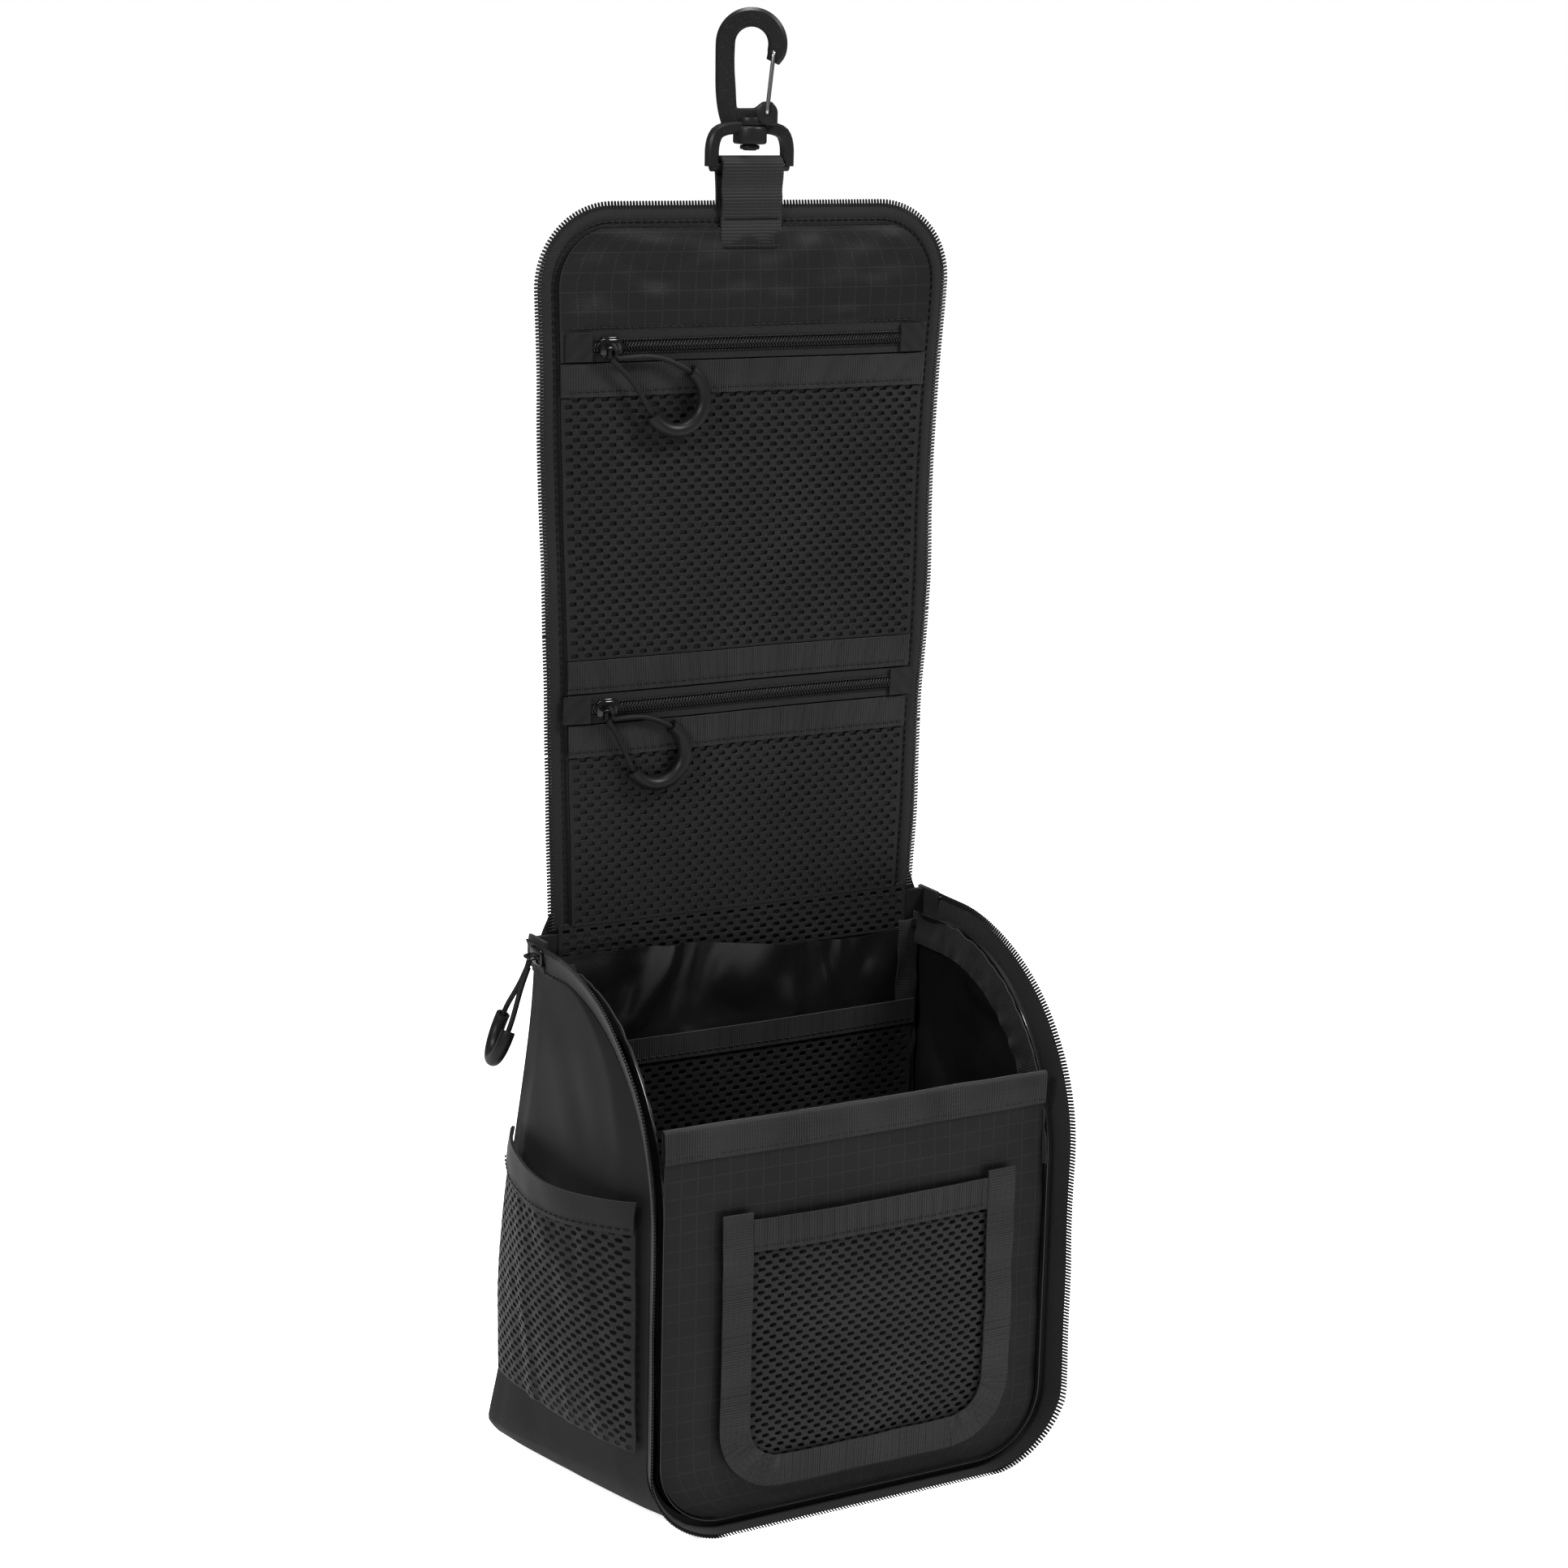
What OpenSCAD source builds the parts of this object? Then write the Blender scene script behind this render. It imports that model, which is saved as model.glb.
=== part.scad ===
// Hanging toiletry bag, hanging open from its swivel hook.
// Millimetres. +X right, +Y back, +Z up. Origin: centre of the underside of the base.

/* [Body] */
// Outside width of the body
body_w = 170; // [130:1:220]
// Depth of the body from the zip edge to the back
body_d = 106; // [94:1:130]
// Height of the back and the sides
body_h = 200; // [165:1:245]
// Radius of the top front corner of the sides, seen from the side
arch_r = 80; // [65:1:88]
// Radius of the two bottom corners, seen from the front
base_r = 30; // [20:1:40]
// How far the top of the low front wall is below the top of the sides
front_drop = 45; // [44:1:75]
// How far the front wall is set back behind the zip edge
front_set_back = 8; // [7.5:0.5:12]

/* [Fabric] */
// Thickness of the outer nylon
shell_t = 1; // [0.8:0.1:1.4]
// Thickness of the foam pad
foam_t = 2; // [1.5:0.1:3]
// Thickness of the satin lining
lining_t = 0.8; // [0.5:0.1:1]
// Thickness of the pocket mesh
mesh_t = 1.2; // [0.8:0.1:1.4]
// Thickness of grosgrain tape and bindings
tape_t = 1.6; // [1:0.1:1.8]
// Width of the wide grosgrain tape
grosgrain_w = 12; // [8:1:14]

/* [Zips] */
// Width of zip tape that shows beside the main coil
zip_tape_w = 8; // [5:1:10]
// Height of the main coil
coil_h = 2.2; // [1.6:0.1:2.4]
// Width of the main coil
coil_w = 2.4; // [1.8:0.1:3]
// Height of a pocket zip, tape and coil
pocket_zip_h = 10; // [8:1:11]
// Distance of the upper pocket zip from the free edge of the lid
upper_zip_drop = 49; // [40:1:60]
// Distance of a pocket zip's ends from the sides of the lid, at its hinge
pocket_zip_margin = 13; // [12:1:30]

/* [Lid] */
// How far each side of the lid's hinge stands in from the side of the body
lid_hinge_inset = 6; // [5:0.5:12]
// Radius of the lid's free corners
lid_corner_r = 28; // [15:1:40]
// Thickness of the lid without its pockets
lid_t = 2; // [1.6:0.1:3]
// Gap between the closed lid and the edge of the sides
lid_gap = 3; // [2.6:0.1:5]
// Height of the closed lid's free edge above the base
lid_end_gap = 10; // [4:1:20]

/* [Pockets] */
// How far the inner back pocket's top edge is below the top of the back
inner_pocket_drop = 40; // [38:1:80]
// How far the front pocket's top edge is below the top of the front wall
front_pocket_drop = 37; // [35:1:60]
// Height of the front pocket's bottom edge
front_pocket_bottom = 13; // [10:1:30]
// Distance of the front pocket's left edge from the left side of the body
front_pocket_left_gap = 27; // [27:1:45]
// Distance of the front pocket's right edge from the right side of the body
front_pocket_right_gap = 19; // [19:1:45]
// Radius of the front pocket's bottom corners
front_pocket_r = 26; // [18:1:32]
// How far the side pockets' top edge is below the top of the sides
side_pocket_drop = 70; // [66:1:90]
// How far a side pocket stands out
side_pocket_bulge = 9; // [7:0.5:14]

/* [Hook] */
// Width of the hanger webbing
strap_w = 25; // [20:1:30]
// Height of the swivel ring's lower bar above the lid
strap_drop = 15; // [13:1:30]
// Radius of the swivel ring's lower bar
bar_r = 2.2; // [1.8:0.1:2.6]
// Height of the slot above the ring's lower bar
slot_h = 5.8; // [5.2:0.1:8]
// Radius of the hook's swivel stem
stem_r = 2.5; // [2:0.1:3]
// Thickness of the hook, front to back
hook_t = 6.6; // [5:0.1:8]
// Height of the hook above its swivel
hook_h = 42.2; // [42:0.1:46]
// Angle by which the hook is turned on its swivel
hook_turn = -30; // [-32:1:32]

/* [Pulls] */
// Radius of the pull cord
cord_r = 1; // [0.8:0.1:1.1]
// Outside radius of the rubber grip tube
grip_tube_r = 2.65; // [2.3:0.05:2.7]
// Bore radius of the rubber grip tube
grip_bore_r = 1.5; // [1.45:0.05:1.6]

/* [Hidden] */
$fn = 48;

black = [0.05, 0.05, 0.055];
satin = [0.09, 0.09, 0.1];
tape_black = [0.13, 0.13, 0.14];
mesh_black = [0.07, 0.07, 0.075];
plastic = [0.08, 0.08, 0.08];
steel = [0.75, 0.76, 0.78];
rubber = [0.16, 0.16, 0.17];

// Walls. The body is a tub with rounded bottom corners; layers are insets of that tub.
half_w = body_w / 2;
front_y = -body_d / 2;
back_y = body_d / 2;
foam_in = shell_t;
lining_in = shell_t + foam_t;
inside = shell_t + foam_t + lining_t;
wall_front_y = front_y + front_set_back;
front_h = body_h - front_drop;
top_over = 60;
edge_trim = 1;

// Pockets
inner_pocket_top = body_h - inner_pocket_drop;
front_pocket_top = front_h - front_pocket_drop;
front_pocket_left = front_pocket_left_gap - half_w;
front_pocket_right = half_w - front_pocket_right_gap;
side_pocket_top = body_h - side_pocket_drop;
pocket_back_y = back_y - 2;
pocket_front_y = front_y + zip_tape_w + 2;
inner_pocket_margin = 4;
inner_binding_h = 10;

// Lid. It bends at three folds, which follow the arch of the sides in equal turns.
fold_angle = 30;
lid_hinge_w = body_w - 2 * lid_hinge_inset;
lid_end_w = body_w;
pocket_zip_half = lid_hinge_w / 2 - pocket_zip_margin;
lid_gap_r = arch_r + lid_gap;
half_facet = lid_gap_r * tan(fold_angle / 2);
hinge_y = back_y - lid_t;
hinge_z = body_h + lid_gap;
crown_len = hinge_y - (front_y + arch_r) + half_facet;
folds = [0, crown_len, crown_len + 2 * half_facet, crown_len + 4 * half_facet];
lid_len = folds[3] + (body_h - arch_r + half_facet) - lid_end_gap;
lid_top_z = hinge_z + lid_len;
fold_gap = 0.3;
pocket_fold_gap = 0.6;
taper = (lid_end_w - lid_hinge_w) / 2 / lid_len;
lid_edge = coil_h + zip_tape_w - 1.2;

// Rows on the lid's inside, as distances from the hinge.
row_gap = 0.3;
lower_zip_at = folds[2] - pocket_zip_h / 2 - pocket_fold_gap;
upper_zip_at = lid_len - upper_zip_drop;
panel_top = lid_len - grosgrain_w - 0.6;

// Sliders: levels above the face that a zip is sewn to.
slider_clear = 0.3;
slider_l = 9;
slider_w = 7.4;
zip_coil_w = 3.4;
pull_level = 5.2;
bail_hole = 2.4;
slider_start = -pocket_zip_half + 8;

// Strap, ring and swivel, counted up from the ring's lower bar
webbing_t = 1.6;
loop_clear = 0.1;
slot_w = strap_w + 2;
ring_side = 4.5;
ring_w = slot_w + 2 * ring_side;
ring_corner = 6;
ring_top_h = 4.9;
barrel_h = 6.5;
barrel_r = 6.2;
swivel_clear = 0.05;
end_float = 0.2;
stem_end_h = 1.6;
stem_end_r = 3.6;
bar_z = lid_top_z + strap_drop;
bar_y = hinge_y + lid_t / 2;
barrel_z = bar_z + bar_r + slot_h;

// Hook, [across, up] from the middle of its foot
hook_z = barrel_z + barrel_h + end_float;
hook_arc_r = 13.1;
spine_low = 13;
foot_left = -10.4;
eye = [0.2, 29.4];
eye_r = 5.9;
eye_foot = [-0.8, 8.8];
eye_foot_r = 3;
mouth_x = 1.6;
mouth_from = 5.4;
mouth_to = 21;
collar_h = 3;
collar_r = 4.6;
knuckle_r = 3.9;
gate_pivot = [6.1, 4.6];
gate_top = [8.2, 26.2];
gate_wire_r = 0.75;
gate_clear = 0.15;
notch_r = gate_wire_r + 0.35;

// Routes of the pull cords, [across, up] from the middle of the slider's bail, with the
// centre of each rubber grip, which is an arc of the route.
upper_grip_at = [26, -19.5];
lower_grip_at = [20, -18.5];
lid_grip_from = -150;
main_grip_at = [0, -30];
main_grip_from = 165;
grip_r = 11.5;
grip_sweep = 210;
upper_route = [
    [1.3, -3.9], [6, -3.8], [11, -3.5], [16, -3.7], [21.3, -4.8], [26.6, -7], [31.7, -9.6],
    [36, -13.8], [37.5, -19.5], [36, -25.2], [31.8, -29.5], [26, -31], [20.2, -29.5], [16, -25.2],
    [13.4, -20.7], [10.6, -16.2], [7.4, -11.9], [3.4, -8.1], [-1, -4.1]];
lower_route = [
    [1.3, -3.9], [5.6, -3.7], [10.4, -3.6], [15.4, -4.2], [20.6, -6], [25.7, -8.6],
    [30, -12.8], [31.5, -18.5], [30, -24.2], [25.8, -28.5], [20, -30], [14.2, -28.5], [10, -24.2],
    [7.6, -19.4], [5.2, -14.2], [2.6, -9], [-1, -4]];
main_route = [
    [-1.3, -4], [-1.6, -7], [-2.6, -10.9], [-4.8, -15.1], [-7.9, -19.2], [-10.3, -23.2],
    [-11.1, -27], [-11.1, -33], [-8.1, -38.1], [-3, -41.1], [3, -41.1], [8.1, -38.1],
    [11.1, -33], [11.1, -27], [10.3, -23.2], [7.9, -19.2], [4.8, -15.1], [2.6, -10.9],
    [1.6, -7], [1.3, -4]];
lower_bail = [slider_start, hinge_y - pull_level, hinge_z + lower_zip_at];
upper_bail = [slider_start, hinge_y - pull_level, hinge_z + upper_zip_at];
main_slider_y = back_y - 9;
main_slider_z = body_h - 2.4;
main_bail = [-half_w - pull_level, main_slider_y, main_slider_z];
main_yaw = 70;
main_tilt = 21;

// ---- Shapes that several pieces share ----

// Front view of the tub, inset from the outside by i
module tub_outline(i) {
    translate([i - half_w, base_r]) square([body_w - 2 * i, body_h + top_over - base_r]);
    translate([base_r - half_w, i]) square([body_w - 2 * base_r, base_r]);
    for (s = [-1, 1]) translate([s * (half_w - base_r), base_r]) circle(r = base_r - i, $fn = 96);
}
module tub(i, y0, y1) {
    translate([0, y1, 0]) rotate([90, 0, 0]) linear_extrude(y1 - y0) tub_outline(i);
}
module tub_layer(i, t, y0, y1) {
    difference() {
        tub(i, y0, y1);
        tub(i + t, y0 - 1, y1 + 1);
    }
}
// Side view of the body, inset from the zip edge by i, across the whole width
module side_view(i) {
    low = -top_over;
    rotate([90, 0, 90]) linear_extrude(body_w + top_over, center = true) {
        translate([front_y + i, low]) square([arch_r, body_h - arch_r - low]);
        translate([front_y + arch_r, low]) square([body_d + top_over, body_h - i - low]);
        translate([front_y + arch_r, body_h - arch_r]) circle(r = arch_r - i, $fn = 160);
    }
}
module edge_band(from, to) {
    difference() {
        side_view(from);
        side_view(to);
    }
}
// A block between two heights, wide enough for the whole part
module between(z0, z1, x0 = -200, x1 = 200) {
    translate([x0, -200, z0]) cube([x1 - x0, 400, z1 - z0]);
}

// Lid outline, seen from the front, inset from the coil's outer edge by i
function arc(c, r, from, to, n) = [for (k = [0:n]) c + r * [cos(from + (to - from) * k / n), sin(from + (to - from) * k / n)]];
function lid_corner(s) =
    let (z = lid_len - lid_corner_r, lean = atan(taper))
    [s * (lid_hinge_w / 2 + taper * z - lid_corner_r / cos(lean)), z];
module lid_outline(i) {
    lean = atan(taper);
    low = -5;
    foot = lid_hinge_w / 2 + taper * low - i / cos(lean);
    polygon(concat(
        [[-foot, low]],
        arc(lid_corner(-1), lid_corner_r - i, 180 - lean, 90, 10),
        arc(lid_corner(1), lid_corner_r - i, 90, lean, 10),
        [[foot, low]]));
}
// A slab of the lid, inset by i, from level y0 to y1 behind its inside face
module lid_slab(i, y0, y1) {
    translate([0, hinge_y + y1, hinge_z]) rotate([90, 0, 0]) linear_extrude(y1 - y0) lid_outline(i);
}
// The stretch of the lid between fold k and the next, or its free end
module lid_stretch(k, gap) {
    low = hinge_z + folds[k] + gap;
    high = k == 3 ? lid_top_z + 1 : hinge_z + folds[k + 1] - gap;
    between(low, high);
}
module lid_skin(k) {
    color(black) intersection() {
        lid_slab(lid_edge, lid_t / 2, lid_t);
        lid_stretch(k, fold_gap);
    }
}
module lid_lining(k) {
    color(satin) intersection() {
        lid_slab(lid_edge, 0, lid_t / 2);
        lid_stretch(k, fold_gap);
    }
}
// Coil round the lid's edge and the tape that carries it
module lid_zip(k) {
    color(plastic) intersection() {
        union() {
            difference() {
                lid_slab(0, 0, lid_t);
                lid_slab(coil_h, -1, lid_t + 1);
            }
            difference() {
                lid_slab(coil_h, 0.2, lid_t - 0.2);
                lid_slab(lid_edge, -1, lid_t + 1);
            }
        }
        lid_stretch(k, fold_gap);
    }
}
// A strip of fabric on the lid's inside, from row z0 to z1, standing t proud
module lid_row(z0, z1, t) {
    intersection() {
        lid_slab(lid_edge, -t, 0);
        between(hinge_z + z0, hinge_z + z1);
    }
}
module pocket_zip(at) {
    zip_l = 2 * pocket_zip_half;
    color(tape_black) lid_row(at - pocket_zip_h / 2, at + pocket_zip_h / 2, 0.8);
    color(plastic) translate([-zip_l / 2, hinge_y - coil_h, hinge_z + at - zip_coil_w / 2])
        cube([zip_l, coil_h - 0.8, zip_coil_w]);
}
// Slider standing on a face at y = 0, towards -Y, with the zip along X
module slider() {
    flange = 1.4;
    plate_from = coil_h + slider_clear;
    plate_to = pull_level - 1.2;
    post = 1.2;
    color(plastic) {
        hull() for (s = [-1, 1]) translate([s * (slider_l - slider_w) / 2, -plate_from, 0])
            rotate([90, 0, 0]) cylinder(h = plate_to - plate_from, r = slider_w / 2, $fn = 32);
        for (s = [-1, 1]) translate([-slider_l / 3, -plate_from, s * (slider_w / 2 - 0.7) - flange / 2])
            cube([slider_l * 2 / 3, plate_from - 1.1, flange]);
        for (s = [-1, 1]) translate([s * 2.8 - post / 2, -plate_to - bail_hole, -1.1])
            cube([post, bail_hole, 2.2]);
        translate([-2.8 - post / 2, -plate_to - bail_hole - 1.2, -1.1])
            cube([5.6 + post, 1.2, 2.2]);
    }
}
// A plane in which a pull hangs: across along X, up along Z, then leaned and turned
module pull_plane(bail, yaw, tilt) {
    translate(bail) rotate([0, 0, yaw]) rotate([tilt, 0, 0]) children();
}
function pull_point(p, bail, yaw, tilt) = bail + [
    cos(yaw) * p[0] + sin(yaw) * sin(tilt) * p[1],
    sin(yaw) * p[0] - cos(yaw) * sin(tilt) * p[1],
    cos(tilt) * p[1]];
module grip(bail, yaw, tilt, at, from) {
    color(rubber) pull_plane(bail, yaw, tilt) translate([at[0], 0, at[1]])
        rotate([90, 0, 0]) rotate([0, 0, from]) rotate_extrude(angle = grip_sweep) translate([grip_r, 0])
            difference() {
                circle(r = grip_tube_r);
                circle(r = grip_bore_r);
            }
}
// A round cord swept along a route of points
function unit(v) = v / norm(v);
function heading(route, k) =
    unit(route[min(k + 1, len(route) - 1)] - route[max(k - 1, 0)]);
module cord(route, flat) {
    sides = 8;
    n = len(route);
    rings = [for (k = [0:n - 1]) let (t = heading(route, k), a = unit(cross(t, flat)), b = cross(a, t))
        for (j = [0:sides - 1]) route[k] + cord_r * (cos(360 * j / sides) * a + sin(360 * j / sides) * b)];
    walls = [for (k = [0:n - 2], j = [0:sides - 1]) let (m = (j + 1) % sides)
        [k * sides + j, k * sides + m, (k + 1) * sides + m, (k + 1) * sides + j]];
    low_end = [for (j = [sides - 1:-1:0]) j];
    high_end = [for (j = [0:sides - 1]) (n - 1) * sides + j];
    color(black) polyhedron(points = rings, faces = concat([low_end], walls, [high_end]));
}
module lid_pull_cord(route, bail) {
    cord([for (p = route) pull_point(p, bail, 0, 0)], [0, 1, 0]);
}

// ---- Hook, ring and strap ----

// Outline of the moulded hook: spine, eye, nose with a notch for the gate, and knuckle
module hook_outline() {
    difference() {
        hull() {
            translate([0, hook_h - hook_arc_r]) circle(r = hook_arc_r, $fn = 96);
            translate([-hook_arc_r, spine_low]) square([hook_arc_r, 1]);
            translate([foot_left, 0]) square([gate_pivot[0] - foot_left, 1]);
        }
        hull() {
            translate(eye) circle(r = eye_r, $fn = 64);
            translate(eye_foot) circle(r = eye_foot_r);
        }
        translate([mouth_x, mouth_from]) square([2 * hook_arc_r, mouth_to - mouth_from]);
        translate(gate_top) circle(r = notch_r);
        translate([gate_top[0] - eye_r, gate_top[1] - notch_r]) square([eye_r, 2 * notch_r]);
    }
    translate(gate_pivot) circle(r = knuckle_r);
}
// Snap hook with its collar, swivel stem and the stem's spread end
module hook_body() {
    color(plastic) translate([0, bar_y, 0]) rotate([0, 0, hook_turn]) {
        translate([0, hook_t / 2, hook_z]) rotate([90, 0, 0]) difference() {
            linear_extrude(hook_t) hook_outline();
            translate([gate_pivot[0], gate_pivot[1], -1])
                cylinder(h = hook_t + 2, r = gate_wire_r + swivel_clear);
        }
        translate([0, 0, hook_z]) cylinder(h = collar_h, r = collar_r);
        translate([0, 0, barrel_z - 1]) cylinder(h = barrel_h + 2, r = stem_r);
        translate([0, 0, barrel_z - end_float - stem_end_h]) cylinder(h = stem_end_h, r = stem_end_r);
    }
}
// Bent steel wire: two pins in the knuckle, two legs and a bar across the nose
module hook_gate() {
    leg_y = hook_t / 2 + gate_wire_r + gate_clear;
    rise = gate_top - gate_pivot;
    lean = atan2(rise[0], rise[1]);
    color(steel) translate([0, bar_y, 0]) rotate([0, 0, hook_turn])
        translate([gate_pivot[0], 0, hook_z + gate_pivot[1]]) {
            for (s = [-1, 1]) translate([0, s * leg_y, 0]) {
                rotate([0, lean, 0]) cylinder(h = norm(rise), r = gate_wire_r);
                sphere(r = gate_wire_r);
                rotate([s * 90, 0, 0]) cylinder(h = hook_t / 2, r = gate_wire_r);
                translate([rise[0], 0, rise[1]]) sphere(r = gate_wire_r);
            }
            translate([rise[0], leg_y, rise[1]]) rotate([90, 0, 0])
                cylinder(h = 2 * leg_y, r = gate_wire_r);
        }
}
// Plastic ring that turns on the hook's stem; the strap loops round its lower bar
module swivel_ring() {
    frame_h = 2 * bar_r + slot_h + ring_top_h;
    over = 1;
    color(plastic) translate([0, bar_y, bar_z]) difference() {
        union() {
            difference() {
                translate([0, bar_r, -bar_r]) rotate([90, 0, 0]) linear_extrude(2 * bar_r) {
                    for (x = [ring_corner - ring_w / 2, ring_w / 2 - ring_corner]) {
                        translate([x, ring_corner]) circle(r = ring_corner);
                        translate([x, frame_h - ring_corner]) circle(r = ring_corner);
                    }
                    translate([-ring_w / 2, ring_corner]) square([ring_w, frame_h - 2 * ring_corner]);
                    translate([ring_corner - ring_w / 2, 0]) square([ring_w - 2 * ring_corner, frame_h]);
                }
                translate([-slot_w / 2, -bar_r - over, -bar_r - over])
                    cube([slot_w, 2 * (bar_r + over), 2 * bar_r + slot_h + over]);
            }
            translate([-slot_w / 2 - over / 2, 0, 0]) rotate([0, 90, 0])
                cylinder(h = slot_w + over, r = bar_r);
            translate([0, 0, barrel_z - bar_z]) cylinder(h = barrel_h, r = barrel_r);
        }
        translate([0, 0, barrel_z - bar_z - over]) cylinder(h = barrel_h + 2 * over, r = stem_r + swivel_clear);
    }
}
// Webbing looped round the ring's bar and sewn to both faces of the lid's free end
module hanger_strap() {
    loop_r = bar_r + loop_clear;
    drop = bar_z - lid_top_z;
    color(tape_black) translate([-strap_w / 2, bar_y, bar_z]) rotate([90, 0, 90]) linear_extrude(strap_w)
        difference() {
            hull() {
                circle(r = loop_r + webbing_t);
                translate([-lid_t / 2 - webbing_t, -drop - grosgrain_w])
                    square([lid_t + 2 * webbing_t, grosgrain_w]);
            }
            hull() {
                circle(r = loop_r);
                translate([-lid_t / 2, -drop]) square([lid_t, 0.5]);
            }
            translate([-lid_t / 2, -drop - grosgrain_w - 1]) square([lid_t, grosgrain_w + 1.5]);
        }
}

// ---- Lid ----

module lid_skin_crown() { lid_skin(0); }
module lid_skin_shoulder_back() { lid_skin(1); }
module lid_skin_shoulder_front() { lid_skin(2); }
module lid_skin_front() { lid_skin(3); }
module lid_lining_crown() { lid_lining(0); }
module lid_lining_shoulder_back() { lid_lining(1); }
module lid_lining_shoulder_front() { lid_lining(2); }
module lid_lining_front() { lid_lining(3); }
module lid_zip_crown() { lid_zip(0); }
module lid_zip_shoulder_back() { lid_zip(1); }
module lid_zip_shoulder_front() { lid_zip(2); }
module lid_zip_front() { lid_zip(3); }

// Mesh pockets, cut where the lid folds
module lower_mesh_crown() {
    color(mesh_black) lid_row(2, folds[1] - pocket_fold_gap, mesh_t);
}
module lower_mesh_shoulder() {
    color(mesh_black) lid_row(folds[1] + pocket_fold_gap, lower_zip_at - grosgrain_w - 6 - row_gap, mesh_t);
}
module upper_mesh_shoulder() {
    color(mesh_black)
        lid_row(folds[2] + pocket_fold_gap + grosgrain_w + row_gap, folds[3] - pocket_fold_gap, mesh_t);
}
module upper_mesh_front() {
    color(mesh_black) lid_row(folds[3] + pocket_fold_gap, upper_zip_at - grosgrain_w - 6 - row_gap, mesh_t);
}
// Grosgrain along the edges of the mesh
module lower_grosgrain_below() {
    color(tape_black) lid_row(lower_zip_at - grosgrain_w - 6, lower_zip_at - 6, tape_t);
}
module lower_grosgrain_above() {
    color(tape_black) lid_row(folds[2] + pocket_fold_gap, folds[2] + pocket_fold_gap + grosgrain_w, tape_t);
}
module upper_grosgrain() {
    color(tape_black) lid_row(upper_zip_at - grosgrain_w - 6, upper_zip_at - 6, tape_t);
}
// Ripstop panel above the upper zip
module lid_ripstop_panel() {
    color(black) lid_row(upper_zip_at + pocket_zip_h / 2 + row_gap, panel_top, mesh_t);
}
module lower_pocket_zip() { pocket_zip(lower_zip_at); }
module upper_pocket_zip() { pocket_zip(upper_zip_at); }

// ---- Pocket sliders and their pulls ----

module lower_slider() { translate([slider_start, hinge_y, lower_bail[2]]) slider(); }
module upper_slider() { translate([slider_start, hinge_y, upper_bail[2]]) slider(); }
module lower_pull_cord() { lid_pull_cord(lower_route, lower_bail); }
module upper_pull_cord() { lid_pull_cord(upper_route, upper_bail); }
module lower_pull_grip() { grip(lower_bail, 0, 0, lower_grip_at, lid_grip_from); }
module upper_pull_grip() { grip(upper_bail, 0, 0, upper_grip_at, lid_grip_from); }

// ---- Body ----

module back_outer() {
    color(black) intersection() {
        tub(0, back_y - shell_t, back_y);
        between(-1, hinge_z - fold_gap);
    }
}
module back_foam() {
    color(satin) intersection() {
        tub(foam_in, back_y - lining_in, back_y - shell_t);
        between(-1, body_h);
    }
}
module side_outer(s) {
    color(black) intersection() {
        tub_layer(0, shell_t, front_y, back_y - shell_t);
        side_view(zip_tape_w);
        between(base_r, body_h, s < 0 ? -200 : 0, s < 0 ? 0 : 200);
    }
}
module side_outer_left() { side_outer(-1); }
module side_outer_right() { side_outer(1); }
module base_outer() {
    color(black) intersection() {
        tub_layer(0, shell_t, front_y, back_y - shell_t);
        side_view(zip_tape_w);
        between(-1, base_r);
    }
}
// One foam pad runs down a side, under the base and up the other side
module body_foam() {
    color(satin) intersection() {
        tub_layer(foam_in, foam_t, front_y, back_y - lining_in);
        side_view(edge_trim);
    }
}
// Sewn satin bag: back, both sides, floor and the inside of the low front wall
module body_lining() {
    lining_front = wall_front_y + shell_t;
    color(satin) {
        intersection() {
            tub(lining_in, back_y - inside, back_y - lining_in);
            between(-1, body_h);
        }
        intersection() {
            tub_layer(lining_in, lining_t, front_y, back_y - inside);
            side_view(edge_trim);
        }
        intersection() {
            tub(inside, lining_front, lining_front + lining_t);
            between(-1, front_h - grosgrain_w);
        }
    }
}
module front_outer() {
    color(black) intersection() {
        tub(inside, wall_front_y, wall_front_y + shell_t);
        between(-1, front_h - grosgrain_w);
    }
}
module front_binding() {
    color(tape_black) intersection() {
        tub(inside, wall_front_y - 0.6, wall_front_y + shell_t + lining_t + 0.6);
        between(front_h - grosgrain_w, front_h);
    }
}
module body_zip_tape() {
    color(tape_black) intersection() {
        tub_layer(0, shell_t, front_y, back_y - shell_t);
        edge_band(0, zip_tape_w);
    }
}
module body_zip_coil() {
    color(plastic) intersection() {
        tub_layer(0, coil_w, front_y - coil_h, back_y - inside);
        edge_band(-coil_h, 0);
    }
}
// A strip on the lining of the back, t thick, between two heights
module inner_pocket_strip(t, z0, z1) {
    half = half_w - inside - inner_pocket_margin;
    translate([-half, back_y - inside - t, z0]) cube([2 * half, t, z1 - z0]);
}
module inner_pocket_mesh() {
    floor_z = base_r + 10;
    color(mesh_black) inner_pocket_strip(mesh_t, floor_z, inner_pocket_top - inner_binding_h);
}
module inner_pocket_binding() {
    color(tape_black) inner_pocket_strip(tape_t, inner_pocket_top - inner_binding_h, inner_pocket_top);
}
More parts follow.
